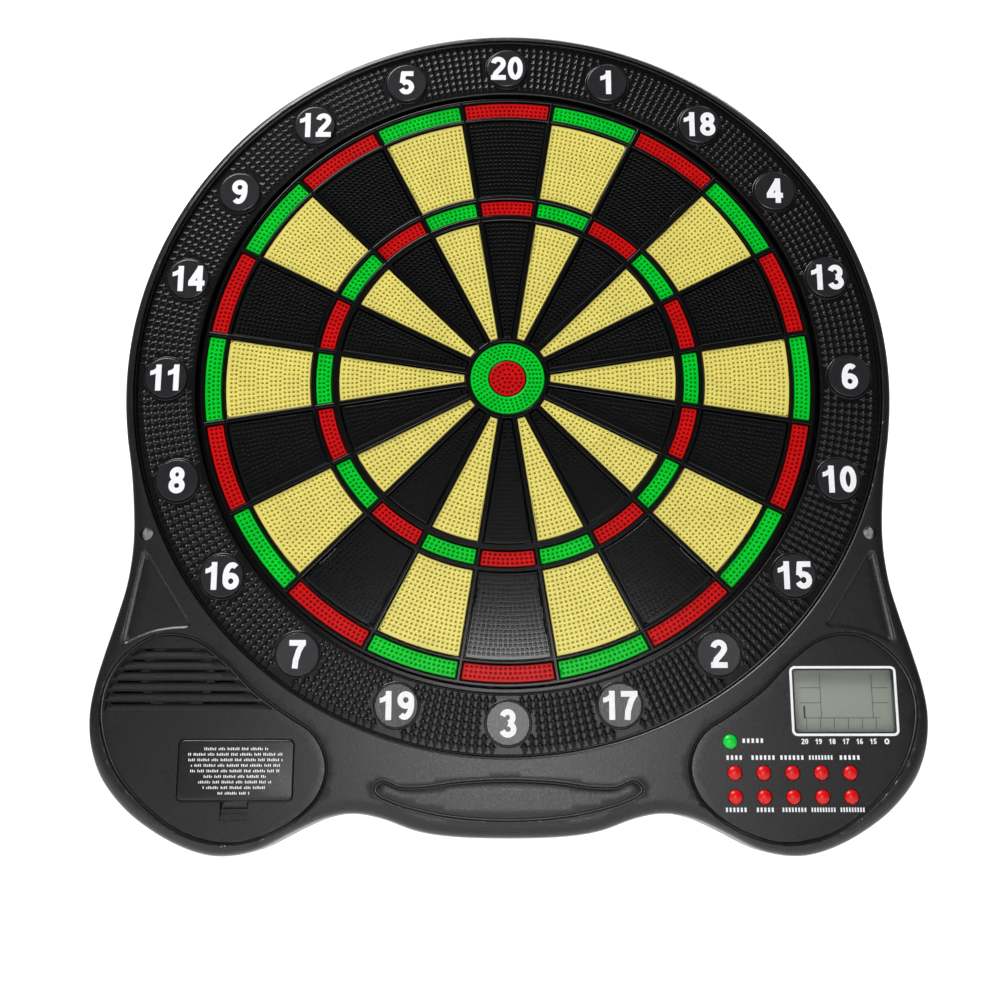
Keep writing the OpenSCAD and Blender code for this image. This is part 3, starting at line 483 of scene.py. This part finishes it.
def housing():
    relief = Relief()
    groups, edges, holes, steps, count = [], [], [], [], 0

    def ring(flat, z=None, hole=False, step=False):
        nonlocal count
        flat = np.asarray(flat, float)
        z = relief.height(flat) if z is None else np.broadcast_to(z, len(flat)).astype(float)
        groups.append((flat, z))
        edges.extend(closed_edges(count, len(flat)))
        count += len(flat)
        if hole:
            holes.append(flat)
        if step:
            steps.append(flat)

    ring(relief.outline)
    ring(circle(0, 0, OPENING_R, 600), hole=True)
    (wx0, wx1), (wy0, wy1), _ = box_mm("display_window")
    window = near(field_loops, (wx0 + wx1) / 2, (wy0 + wy1) / 2)
    ring(densify(window, 3), hole=True)
    button_r = box_mm("power_button")[0][1] - centre_mm("power_button")[0] - 1.05 + 0.3
    for node in ["power_button"] + [f"{k}_button" for k in KEYS]:
        ring(circle(*centre_mm(node), button_r, 28), hole=True)
    wall_holes = [middle(near(top_loops, side * 199, -90)) for side in (-1, 1)]
    hole_r = np.ptp(near(top_loops, 199, -90)[:, 0]) / 2
    for at in wall_holes:
        ring(circle(*at, hole_r, 28), hole=True)

    # The battery bay: a ledge that the door lies on, the bay below it, and the latch's pocket
    (dx0, dx1), (_, dy1), _ = box_mm("battery_door")
    dx0, dx1, dy0 = dx0 + 0.9, dx1 - 0.9, dy1 - 32.6
    door = rounded(dx0, dx1, dy0, dy1 + 0.3, 3)
    door = densify(door, 2.5)
    mid_x = (dx0 + dx1) / 2
    in_latch = (np.abs(door[:, 0] - mid_x) < 7.5) & (door[:, 1] < dy0 + 0.1)
    ring(door, np.where(in_latch, LEDGE, FIELD), step=True)
    ring(inward(door, 0.12), LEDGE)
    ring(densify(rounded(mid_x - 28.5, mid_x + 28.5, dy0 + 2.3, dy0 + 30.3, 1), 3), LEDGE, hole=True)
    latch = densify(np.array([
        (mid_x - 7.5, dy0 - 9.5), (mid_x + 7.5, dy0 - 9.5), (mid_x + 7.5, dy0 - 0.2), (mid_x - 7.5, dy0 - 0.2)
    ]), 1.5)
    top = latch[:, 1] > dy0 - 0.3
    ring(latch, np.where(top & (np.abs(latch[:, 0] - mid_x) < 7.4), LEDGE, FIELD), step=True)
    floor = inward(latch, 0.12)
    step_y, step_z = zip(*sorted(LATCH_STEPS))
    ring(floor, np.interp(floor[:, 1], step_y, step_z))
    for y, z in LATCH_STEPS[:-1]:
        line = np.column_stack([np.linspace(mid_x - 7, mid_x + 7, 9), np.full(9, y)])
        groups.append((line, np.full(9, z)))
        count += 9

    # The steep sides of the grooves are fixed edges, so that no triangle cuts across them
    for s in STEEP_S:
        for lobe in relief.lobes:
            ring(inward(lobe, s))
        ring(inward(relief.smile, s))

    # Louvres: a slot along the top of each, and a floor that rises away from it
    louvres = [counter_clockwise(p) for p in field_loops if middle(p)[0] < -150 and middle(p)[1] > -186
               and -200 < middle(p)[0] and np.ptp(p[:, 1]) < 6]
    for loop in louvres:
        y1, y0 = loop[:, 1].max(), loop[:, 1].min()
        ring(densify(loop, 3), step=True)
        ramp = inward(densify(loop, 3), 0.14)
        slope = lambda y: FIELD - np.interp(y, [y0, y1 - 1.2], [LOUVRE_FOOT, LOUVRE_SLOT])
        ring(ramp, slope(ramp[:, 1]))
        near_top = loop[loop[:, 1] > y1 - 0.1][:, 0]
        left, right = near_top.min() + 2.6, near_top.max() - 2.6
        slot = np.array([(left, y1 - 1.2), (right, y1 - 1.2), (right, y1 - 0.3), (left, y1 - 0.3)])
        ring(densify(slot, 3), FIELD - LOUVRE_SLOT, hole=True)

    fixed = np.vstack([g[0] for g in groups])
    rows = [inward(relief.outline, d) for d in (0.25, 0.7, 1.4, 2.4, 3.6, 5.0, 6.5, 8.5)]
    rows += [circle(0, 0, OPENING_R + d, 600) for d in (0.15, 0.45, 0.9, 2)]
    rows += [inward(lobe, s) for lobe in relief.lobes for s in GROOVE_S]
    rows += [inward(pad, s) for pad in relief.pads for s in PAD_S]
    rows += [inward(relief.smile, s) for s in SMILE_S]
    rows = np.vstack(rows)
    pitch = 3.4
    xs, ys = np.arange(-228, 228, pitch), np.arange(-264, 219, pitch * 0.866)
    grid = np.array([(x + (j % 2) * pitch / 2, y) for j, y in enumerate(ys) for x in xs])

    def usable(points, margin):
        keep = inside(points, relief.outline) & (np.linalg.norm(points, axis=1) > OPENING_R + margin)
        for loop in holes[1:] + steps:
            keep &= ~inside(points, loop)
        return points[keep]

    rows = thin(usable(rows, 0.1), fixed, 0.3)
    grid = thin(usable(grid, 1.5), np.vstack([fixed, rows]), 2.0)
    loose = np.vstack([rows, grid])
    points = np.vstack([fixed, loose])
    z = np.concatenate([g[1] for g in groups] + [relief.height(loose)])

    flat, tris, source = triangulate(points, edges, holes, relief.outline)
    height = np.array([z[s] if s >= 0 else relief.height(flat[i:i + 1])[0] for i, s in enumerate(source)])

    # The inside follows the front at the wall's thickness, drawn in from the outline
    edge_gap, normal = distance(flat, relief.outline)
    room = np.minimum(9, edge_gap + np.maximum(np.linalg.norm(flat, axis=1) - OPENING_R, 0))
    shift = np.where(edge_gap < room, WALL * (1 - edge_gap / np.maximum(room, 1e-6)), 0)
    under = flat - normal * shift[:, None]
    under_z = np.minimum(UNDERSIDE, height - 1.7)
    shape = Shape()
    upper, lower = shape.loop(flat, height), shape.loop(under, under_z)
    shape.faces += [tuple(upper[i] for i in t) for t in tris]
    shape.faces += [tuple(lower[i] for i in t[::-1]) for t in tris]
    border = {}
    sides = {(t[i], t[(i + 1) % 3]) for t in tris for i in range(3)}
    for a, b in sides:
        if (b, a) not in sides:
            border[a] = b
    while border:
        start, at = border.popitem()
        loop = [start]
        while at != start:
            loop.append(at)
            at = border.pop(at)
        rim = flat[loop]
        chain = [[upper[i] for i in loop]]
        if edge_gap[loop].max() < 0.01:
            chain += [shape.loop(rim, REAR), shape.loop(under[loop], REAR)]
        for at_hole in wall_holes:
            if np.linalg.norm(rim - at_hole, axis=1).max() < hole_r + 0.1:
                wide = at_hole + (rim - at_hole) * TUBE_R / hole_r
                chain += [shape.loop(rim, TUBE_FOOT), shape.loop(wide, TUBE_FOOT)]
        chain.append([lower[i] for i in loop])
        for a, b in zip(chain, chain[1:]):
            shape.bridge(a, b)
    return piece(shape, "housing_shell", "case", replaces=["front_housing"], sharp=40), relief


def rounded(x0, x1, y0, y1, r, steps=6):
    """A counter-clockwise box with round corners."""
    out = []
    corners = ((x1 - r, y0 + r, -90), (x1 - r, y1 - r, 0), (x0 + r, y1 - r, 90), (x0 + r, y0 + r, 180))
    for cx, cy, a in corners:
        for k in range(steps + 1):
            t = math.radians(a + 90 * k / steps)
            out.append((cx + r * math.cos(t), cy + r * math.sin(t)))
    return np.array(out)


# ---------------------------------------------------------------- number ring

NUMBER_R, DISC_R = 193.3, 11.8
STUD_ROWS, STUDS_EACH = 7, 15
STUD_R0, STUD_STEP, STUD_H = 180.0, 3.97, 0.65
STUD_R = 0.22


def catch_ring():
    columns = len(NUMBERS) * STUDS_EACH
    lines = [0, 0.3, 0.4, 0.5, 0.6, 0.7]
    per_stud = len(lines) - 1
    angles = np.array([(c + u - 0.5) * TURN / columns for c in range(columns) for u in lines])
    radii = np.array([STUD_R0 + (j + u) * STUD_STEP for j in range(STUD_ROWS) for u in lines[1:]])
    across = np.array(lines * columns) - 0.5
    inner = [(176.9, 17.2), (176.9, 25.3), (177.2, 25.6), (178.3, 25.6), (178.7, RING)]
    outer = [(209.5, RING), (209.7, 26.4), (210.1, RING_TOP - 0.1), (210.6, RING_TOP - 0.1), (211.1, 26.2),
             (211.1, 24.5), (212.9, 24.5), (212.9, 22.5), (178.6, 22.5), (178.6, 17.2)]
    shape, rows = Shape(), []
    direction = np.stack([np.cos(angles), np.sin(angles)], axis=1)
    for r, z in inner:
        rows.append(shape.loop(direction * r, z))
    for j, r in enumerate(radii):
        from_middle = np.hypot(across, lines[1:][j % per_stud] - 0.5)
        raised = STUD_H * np.sqrt(np.clip(1 - (from_middle / STUD_R) ** 2, 0, 1))
        cell = (np.arange(len(angles)) // len(lines)) * TURN / columns
        stud = STUD_R0 + (j // per_stud + 0.5) * STUD_STEP
        spot = np.stack([np.cos(cell), np.sin(cell)], axis=1) * stud
        for i in range(len(NUMBERS)):
            at = NUMBER_R * np.array([math.cos(i * WEDGE), math.sin(i * WEDGE)])
            raised = raised * (np.linalg.norm(spot - at, axis=1) > DISC_R + 1.6)
        rows.append(shape.loop(direction * r, RING + raised))
    for r, z in outer:
        rows.append(shape.loop(direction * r, z))
    for a, b in zip(rows, rows[1:] + rows[:1]):
        shape.bridge(a, b)
    piece(shape, "number_ring", "ring", replaces=["catch_ring"], sharp=55)

    discs = Shape()
    profile = [(13.0, RING - 0.2), (12.95, RING + 0.35), (12.75, RING + 0.45), (12.5, RING + 0.35),
               (12.2, RING - 0.1), (12.0, RING), (11.8, 26.5), (11.6, 26.85), (11.3, 26.95), (5, 26.85)]
    for i in range(len(NUMBERS)):
        discs.lathe(NUMBER_R * math.cos(i * WEDGE), NUMBER_R * math.sin(i * WEDGE), profile, 48)
    piece(discs, "number_discs", "disc", sharp=12)


# ---------------------------------------------------------------- printed numbers and marks

def arc(cx, cy, rx, ry, start, end, count=12):
    return [(cx + rx * math.cos(math.radians(a)), cy + ry * math.sin(math.radians(a)))
            for a in np.linspace(start, end, count)]


# Centre lines of the digits in a box 0.57 wide and 1 high
DIGITS = {
    "0": [arc(0.285, 0.5, 0.178, 0.393, 80, 280), arc(0.285, 0.5, 0.178, 0.393, -100, 100)],
    "1": [[(0.335, 0.0), (0.335, 1.0)]],
    "2": [arc(0.285, 0.7, 0.175, 0.193, 172, -25) + [(0.37, 0.5), (0.2, 0.3), (0.13, 0.1)],
          [(0.02, 0.105), (0.55, 0.105)]],
    "3": [arc(0.27, 0.7, 0.165, 0.193, 165, -80), arc(0.275, 0.3, 0.185, 0.193, 88, -165)],
    "4": [[(0.39, 0.0), (0.39, 1.0)], [(0.4, 0.93), (0.09, 0.36)], [(0.0, 0.31), (0.56, 0.31)]],
    "5": [[(0.1, 0.895), (0.52, 0.895)], [(0.17, 0.95), (0.13, 0.5)],
          arc(0.275, 0.325, 0.185, 0.218, 140, -160)],
    "6": [arc(0.285, 0.31, 0.178, 0.203, 80, 280), arc(0.285, 0.31, 0.178, 0.203, -100, 100),
          arc(0.32, 0.45, 0.213, 0.443, 55, 190)],
    "7": [[(0.02, 0.895), (0.55, 0.895)], [(0.48, 0.93), (0.33, 0.62), (0.24, 0.3), (0.215, 0.0)]],
    "8": [arc(0.285, 0.71, 0.155, 0.183, 80, 280), arc(0.285, 0.71, 0.155, 0.183, -100, 100),
          arc(0.285, 0.3, 0.178, 0.193, 80, 280), arc(0.285, 0.3, 0.178, 0.193, -100, 100)],
}
DIGITS["9"] = [[(0.57 - x, 1 - y) for x, y in line] for line in DIGITS["6"]]
STROKE = 0.1
DIGIT_W = 0.62
FLAG = [(0.3, 0.99), (0.25, 0.87), (0.16, 0.79), (0.05, 0.755), (0.05, 0.585), (0.17, 0.62), (0.3, 0.69)]


def ribbon(line, half):
    """A counter-clockwise outline of a centre line with square ends."""
    p = np.array(line, float)
    step = np.gradient(p, axis=0)
    step /= np.linalg.norm(step, axis=1, keepdims=True)
    side = np.stack([-step[:, 1], step[:, 0]], axis=1) * half
    return counter_clockwise(np.vstack([p + side, (p - side)[::-1]]))


def print_on(shape, outlines, z, thick):
    """Draws the union of some outlines as a thin raised print."""
    points, faces = [], []
    for loop in outlines:
        faces.append(list(range(len(points), len(points) + len(loop))))
        points += [Vector(p) for p in loop]
    flat, _, tris, _, _, sources = delaunay_2d_cdt(points, [], faces, 1, 1e-6)
    covered = [tuple(t) for t, source in zip(tris, sources) if source]
    shape.prism(np.array([(c.x, c.y) for c in flat]), covered, z, z + thick)


def write_number(shape, number, x, y, height, z, thick):
    """A number centred on x, y."""
    text = str(number)
    advance = (DIGIT_W + 0.035) * height
    left = x - (advance * (len(text) - 1) + DIGIT_W * height) / 2
    size = np.array([DIGIT_W / 0.57, 1]) * height
    for i, digit in enumerate(text):
        base = np.array([left + i * advance, y - height / 2])
        outlines = [ribbon(np.array(s) * size + base, STROKE * height) for s in DIGITS[digit]]
        if digit == "1":
            outlines.append(np.array(FLAG) * size + base)
        print_on(shape, outlines, z, thick)


def numerals():
    shape = Shape()
    for i, number in enumerate(NUMBERS):
        a = math.pi / 2 - i * WEDGE
        write_number(shape, number, NUMBER_R * math.cos(a), NUMBER_R * math.sin(a), 15.4, 26.8, 0.28)
    piece(shape, "numerals", "print", sharp=30)


# ---------------------------------------------------------------- segments

HOLE = [(1.02, 0.0), (0.8, -0.22), (0.58, -0.6), (0.5, -2.4)]
HOLE_SIDES = 8
EDGE = 0.45


def wedge_border(r0, r1, inset, steps):
    """A counter-clockwise slice of a wedge round the x axis, with as many points for any inset."""
    a0, a1 = (WEDGE / 2 - math.asin(inset / r) for r in (r0, r1))
    first = r0 * np.array([math.cos(a0), math.sin(a0)])
    last = r1 * np.array([math.cos(a1), math.sin(a1)])
    rise = [first + (last - first) * k / steps for k in range(steps)]
    outer = [r1 * np.array([math.cos(a), math.sin(a)]) for a in np.linspace(a1, -a1, steps + 1)[:-1]]
    fall = [p * (1, -1) for p in [last + (first - last) * k / steps for k in range(steps)]]
    inner = [r0 * np.array([math.cos(a), math.sin(a)]) for a in np.linspace(-a0, a0, steps + 1)[:-1]]
    return np.array(rise + outer + fall + inner)[::-1]


def hole_rows(r0, r1, pitch, side):
    """Centres of the tip holes: rows along arcs, spread from side to side."""
    centres = []
    for r in np.linspace(r0, r1, round((r1 - r0) / pitch) + 1):
        half = r * (WEDGE / 2 - math.asin(INSET / r)) - side
        count = max(1, round(2 * half / 2.62) + 1) if half > 0.4 else 1
        for s in (np.linspace(-half, half, count) if count > 1 else [0.0]):
            centres.append((r * math.cos(s / r), r * math.sin(s / r)))
    return centres


def plate(shape, borders, centres, cores=()):
    """A perforated plate: borders are (flat, z) loops from top to foot, cores the same for a middle hole."""
    rims = [circle(x, y, HOLE[0][0], HOLE_SIDES) for x, y in centres]
    loops = [borders[0][0]] + ([cores[0][0]] if cores else []) + rims
    points, edges, count = np.vstack(loops), [], 0
    starts = []
    for loop in loops:
        starts.append(count)
        edges += closed_edges(count, len(loop))
        count += len(loop)
    flat, tris, source = triangulate(points, edges, loops[1:], borders[0][0])
    top = shape.loop(flat, FACE)
    shape.faces += [tuple(top[i] for i in t) for t in tris]
    at = {s: top[i] for i, s in enumerate(source)}

    def drop(start, size, below, cap):
        upper = [at[start + k] for k in range(size)]
        for loop, z in below:
            lower = shape.loop(loop, z)
            shape.bridge(upper, lower)
            upper = lower
        if cap:
            shape.faces.append(tuple(upper))
        return upper

    foot = drop(0, len(borders[0][0]), borders[1:], not cores)
    if cores:
        inner = drop(starts[1], len(cores[0][0]), cores[1:], False)
        shape.bridge(foot, inner)
    for start, (x, y) in zip(starts[1 + bool(cores):], centres):
        drop(start, HOLE_SIDES, [(circle(x, y, r, HOLE_SIDES), FACE + z) for r, z in HOLE[1:]], True)


def segment(r0, r1, margins, pitch, steps):
    shape = Shape()
    borders = [(wedge_border(r0 + EDGE, r1 - EDGE, INSET + EDGE, steps), FACE),
               (wedge_border(r0 + 0.13, r1 - 0.13, INSET + 0.13, steps), FACE - 0.13),
               (wedge_border(r0, r1, INSET, steps), FACE - EDGE),
               (wedge_border(r0, r1, INSET, steps), FOOT + 1.4),
               (wedge_border(r0 - 1, r1 + 1, INSET - 1, steps), FOOT + 1.4),
               (wedge_border(r0 - 1, r1 + 1, INSET - 1, steps), FOOT)]
    plate(shape, borders, hole_rows(r0 + margins[0], r1 - margins[1], pitch, 1.85))
    return shape


def segments():
    inner = segment(RADII[0], RADII[1], (2.6, 2.4), 2.5, 10)
    triple = segment(RADII[2], RADII[3], (1.8, 2.0), 2.3, 12)
    outer = segment(RADII[4], RADII[5], (1.9, 3.0), 2.5, 14)
    double = segment(RADII[6], RADII[7], (1.8, 2.2), 2.5, 16)
    for i, number in enumerate(NUMBERS):
        angle = math.pi / 2 - i * WEDGE
        body = node = f"target_{number}"
        for parts, name, material in (
            ((double, triple), "rings", ("red", "green")[i % 2]),
            ((outer, inner), "fields", ("black", "cream")[i % 2]),
        ):
            shape = Shape()
            for part in parts:
                shape.join(part.turned(angle), part.faces)
            piece(shape, f"{node}_{name}", material, body, [node], 20, False)


def bulls():
    def rings(r0, r1, rows):
        return [p for r in np.linspace(r0, r1, rows) for p in circle(0, 0, r, round(TURN * r / 2.62))]

    def turned_loops(r, inner):
        s = -1 if inner else 1
        return [(circle(0, 0, r - s * EDGE, 96), FACE), (circle(0, 0, r - s * 0.13, 96), FACE - 0.13),
                (circle(0, 0, r, 96), FACE - EDGE)]

    outer, inner = Shape(), Shape()
    plate(outer, turned_loops(BULL_R, False) + [(circle(0, 0, r, 96), z) for r, z in (
        (BULL_R, FOOT + 1.4), (BULL_R + 1, FOOT + 1.4), (BULL_R + 1, FOOT))],
        rings(BULL_HOLE_R + 2, BULL_R - 2, 4),
        turned_loops(BULL_HOLE_R, True) + [(circle(0, 0, r, 96), z) for r, z in (
            (BULL_HOLE_R, FOOT + 4.2), (BULL_HOLE_R + 1.5, FOOT + 4.2), (BULL_HOLE_R + 1.5, FOOT))])
    plate(inner, turned_loops(INNER_BULL_R, False) + [(circle(0, 0, r, 96), z) for r, z in (
        (INNER_BULL_R, FOOT + 2.6), (INNER_BULL_R + 1.5, FOOT + 2.6), (INNER_BULL_R + 1.5, FOOT))],
        [(0, 0)] + rings(2.7, INNER_BULL_R - 2, 3))
    piece(outer, "bull_ring", "green", "bull_outer", ["bull_outer"], 20)
    piece(inner, "bull_centre", "red", "bull_inner", ["bull_inner"], 20)


# ---------------------------------------------------------------- buttons, display and battery door

def buttons():
    for key in ["power"] + KEYS:
        node = f"{key}_button"
        x, y = centre_mm(node)
        (x0, x1), _, (z0, z1) = box_mm(node)
        flange = (x1 - x0) / 2
        cap = flange - 1.05
        shape = Shape()
        dome = [(cap * math.cos(a), z1 - 2.3 + 2.3 * math.sin(a)) for a in np.linspace(0.1, 1.45, 9)]
        shape.lathe(x, y, [(flange, z0), (flange, z0 + 1.5), (cap, z0 + 1.5), (cap, z1 - 2.35)] + dome, 40)
        colour = "green" if key == "power" else "red"
        piece(shape, f"{key}_cap", f"key_{colour}", node, [node], sharp=50)


WORD_BLOCKS = (4, 6, 6, 8, 5, 6, 5, 8, 9, 9)


def marks():
    """Plain blocks in place of words, a ring in place of a letter, and the display's printed numbers."""
    shape, top = Shape(), 0.1
    power_x, power_y = centre_mm("power_button")
    rows = [(power_x + 12, power_y + 0.5, 5, 2.4)]
    for i, key in enumerate(KEYS):
        x, y = centre_mm(f"{key}_button")
        lift = 8.0 if i < 5 else -6.5
        rows.append((x, y + lift, WORD_BLOCKS[i], (2.3, 1.95)[i > 4 or i == 3]))
    for x, y, blocks, pitch in rows:
        pitch = min(pitch, 13.2 / blocks)
        for k in range(blocks):
            u = x + (k - (blocks - 1) / 2) * pitch
            shape.slab(u - pitch * 0.27, u + pitch * 0.27, y - 1.15, y + 1.15, FIELD, top)
    (x0, x1), (y0, y1), _ = box_mm("display_window")
    x0, x1, y0, y1 = x0 + 1.5, x1 - 1.5, y0 + 1.5, y1 - 1.5
    for i, number in enumerate((20, 19, 18, 17, 16, 15)):
        write_number(shape, number, x0 + 4.3 + i * 7.25, y0 - 4.8, 2.9, FIELD, top)
    ring_x = x0 + 4.3 + 6 * 7.25
    halves = [ribbon(arc(ring_x, y0 - 4.8, 0.95, 1.15, a, a + 200, 12), 0.4) for a in (0, 180)]
    print_on(shape, halves, FIELD, top)
    frame_loops = [rounded(x0 - 0.6 - g, x1 + g, y0 - 0.4 - g, y1 + g, 1.4 + g) for g in (1.6, 0.3)]
    shape.stack([(frame_loops[0], FIELD), (frame_loops[0], FIELD + 0.3), (frame_loops[1], FIELD + 0.3),
                 (frame_loops[1], FIELD)])
    low = [shape.loop(p, FIELD) for p in frame_loops]
    shape.bridge(low[0], low[1])
    piece(shape, "panel_print", "print", sharp=30)


def display():
    (x0, x1), (y0, y1), (z0, z1) = box_mm("lcd_panel")
    glass = Shape()
    glass.stack([(rounded(x0 + g, x1 - g, y0 + g, y1 - g, 0.4, 3), z) for g, z in (
        (0, z0), (0, z1 - 0.9), (0.3, z1 - 0.6), (1.6, z1 - 0.6), (1.7, z1 - 0.05), (1.9, z1))], True, True)
    piece(glass, "lcd_glass_pane", "lcd", replaces=["lcd_panel"])
    ink = Shape()

    def bar(xa, xb, ya, yb):
        ink.slab(xa, xb, ya, yb, z1, 0.05)

    left, right, top, foot, w = x0 + 16.2, x1 - 12.3, y1 - 3.6, y0 + 9.1, 0.28
    bar(left, left + w, foot, top)
    bar(right, right + w, foot, top)
    for y in (y1 - 11.3, y1 - 19.3):
        bar(x0 + 5, left, y, y + w)
        bar(right, x1 - 4, y, y + w)
    bar(x0 + 7, x1 - 8, foot, foot + w)
    for i in range(6):
        x = x0 + 8 + i * 7.45
        bar(x, x + w, y0 + 3.4, foot)
    bar(x0 + 6.8, x0 + 7.8, foot, foot + 6.5)
    piece(ink, "lcd_cell_lines", "ink")
    (x0, x1), (y0, y1), (z0, z1) = box_mm("display_window")
    edge = 1.7
    pane = Shape()
    pane.stack([(rounded(x0 + g, x1 - g, y0 + g, y1 - g, 1, 3), z) for g, z in (
        (0, z0), (0, z0 + 1.4), (edge, z0 + 1.4), (edge, z1 - 0.3), (edge + 0.3, z1))], True, True)
    piece(pane, "window_pane", "clear", replaces=["display_window"])


TEXT_WIDTHS = [36, 51, 50.5, 47.5, 48, 33.5, 39, 34, 18]
TEXT_PITCH = 0.95


def battery_door():
    (x0, x1), (_, y1), (z0, z1) = box_mm("battery_door")
    x0, x1, y0 = x0 + 1.2, x1 - 1.2, y1 - 32
    mid = (x0 + x1) / 2
    hinge_y, hinge_z = y1 - 1, z1 - 1
    shape = Shape()

    def door_loop(g, top):
        return rounded(x0 + 0.25 + g, x1 - 0.25 - g, y0 + 0.25 + g, y1 - top, 2.7 - g * 0.5)

    shape.stack([(door_loop(0.3, 0.9), z1 - 2), (door_loop(0, 0.35), z1 - 1.7),
                 (door_loop(0, 0.02), z1 - 1), (door_loop(0.1, 0.2), z1 - 0.4),
                 (door_loop(0.4, 0.7), z1 - 0.06), (door_loop(0.8, 1.1), z1)], True, True)
    for a, b, r in ((x0 - 1.2, x0 + 0.8, 0.6), (x1 - 0.8, x1 + 1.2, 0.6)):
        ends = []
        for x in (a, b):
            ring = circle(hinge_y, hinge_z, r, 16)
            ends.append(shape.add(np.column_stack([np.full(16, x), ring])))
        shape.bridge(*ends)
        shape.faces += [tuple(ends[0]), tuple(ends[1][::-1])]
    half = 6.7
    tab = [rounded(mid - half + g, mid + half - g, y0 - 2.1 + g, y0 + 1.5, 0.6, 3) for g in (0, 0, 0.25)]
    shape.stack(list(zip(tab, (z1 - 2.2, z1 - 1.9, z1 - 1.7))), True, True)
    leg = rounded(mid - half, mid + half, y0 - 3.2, y0 - 2, 0.4, 3)
    shape.stack([(leg, z1 - 3.8), (leg, z1 - 2.1)], True, True)
    piece(shape, "door_panel", "case", "battery_door", ["battery_door"], sharp=40)

    text = Shape()
    for i, width in enumerate(TEXT_WIDTHS):
        y = y0 + 27.1 - i * 2.875
        for k in range(int(width / TEXT_PITCH)):
            if (k * 5 + i * 3) % 13 > 1:
                x = mid - width / 2 + k * TEXT_PITCH
                tall = 1.4 if (k + i) % 3 else 1.0
                text.slab(x, x + 0.5, y - 0.7, y - 0.7 + tall, z1, 0.06)
    piece(text, "door_print", "print", "battery_door", sharp=30)


# ---------------------------------------------------------------- the nodes that stay

KEPT = {
    "back_cover": "back", "spider": "web", "backing_board": "hardboard", "membrane_rear": "film",
    "membrane_spacer": "film", "membrane_front": "film", "membrane_tail": "film", "damping_sheet": "foam",
    "keypad_membrane": "rubber", "circuit_board": "board", "controller_chip": "epoxy",
    "lcd_backlight": "guide", "lcd_connector": "zebra",
    # The speaker frame carries the near-black painted shade for the louvre slots.
    "speaker_frame": "painted", "speaker_magnet": "magnet", "speaker_cone": "paper",
    "battery_box": "back", "battery_contacts": "contact", "batteries": "sleeve", "wires": "jacket",
    "case_screws": "screw", "board_screws": "screw",
}
BEVELS = {"spider": 0.55, "battery_box": 0.3, "case_screws": 0.2, "board_screws": 0.15}


def kept_nodes():
    for node, material in KEPT.items():
        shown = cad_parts[node]
        shown.data.materials.clear()
        shown.data.materials.append(MATERIALS[material])
        if node in BEVELS:
            weld = shown.modifiers.new("weld", "WELD")
            weld.merge_threshold = 2e-6
            bevel = shown.modifiers.new("bevel", "BEVEL")
            bevel.limit_method = "ANGLE"
            bevel.angle_limit = math.radians(50)
            bevel.width = BEVELS[node] / 1000
            bevel.segments = 3
            bevel.harden_normals = False


# ---------------------------------------------------------------- stage, light and camera

def area_light(name, at, aim, size, power, size_y=None):
    lamp = bpy.data.lights.new(name, "AREA")
    lamp.energy, lamp.size = power, size
    if size_y:
        lamp.shape, lamp.size_y = "RECTANGLE", size_y
    made = bpy.data.objects.new(name, lamp)
    made.location = at
    made.rotation_euler = (Vector(aim) - Vector(at)).to_track_quat("-Z", "Y").to_euler()
    bpy.context.scene.collection.objects.link(made)


def stage():
    pale = finish("stage_paint", (246, 246, 246), 0.9, mottle=0.01, patch=2, grain=300, bump=0.02)
    for name, points in (
        ("floor", [(-6, -6, -0.55), (6, -6, -0.55), (6, 6, -0.55), (-6, 6, -0.55)]),
        ("backdrop", [(-6, 2.5, -0.55), (6, 2.5, -0.55), (6, 2.5, 6), (-6, 2.5, 6)]),
    ):
        mesh = bpy.data.meshes.new(name)
        mesh.from_pydata(points, [], [(0, 1, 2, 3)])
        mesh.materials.append(pale)
        made = bpy.data.objects.new(name, mesh)
        bpy.context.scene.collection.objects.link(made)
    world = bpy.data.worlds.new("studio")
    world.use_nodes = True
    world.node_tree.nodes["Background"].inputs["Color"].default_value = (0.9, 0.92, 0.95, 1)
    world.node_tree.nodes["Background"].inputs["Strength"].default_value = 0.11
    bpy.context.scene.world = world
    area_light("key", (-0.9, -1.2, 2.1), (0, 0, 0), 1.2, 64)
    area_light("strip", (0.02, -2.2, -0.1), (0, 0, -0.15), 0.5, 6.5, 0.35)
    area_light("wash", (0, 0.9, 2.2), (0, 2.5, 0.2), 2.0, 90)


def camera():
    data = bpy.data.cameras.new("camera")
    data.lens, data.sensor_width = 46.79, 36
    made = bpy.data.objects.new("camera", data)
    right = Vector((0.99999, 0.00390, -0.00066))
    up = Vector((0.00150, -0.21972, 0.97556))
    back = Vector((0.00366, -0.97556, -0.21972))
    turn = Matrix((right, up, back)).transposed().to_4x4()
    made.matrix_world = Matrix.Translation((-0.00162, -0.72852, -0.22935)) @ turn
    bpy.context.scene.collection.objects.link(made)
    bpy.context.scene.camera = made


housing()
catch_ring()
numerals()
segments()
bulls()
buttons()
marks()
display()
battery_door()
kept_nodes()
stage()
camera()
bpy.context.scene.view_settings.view_transform = "Standard"
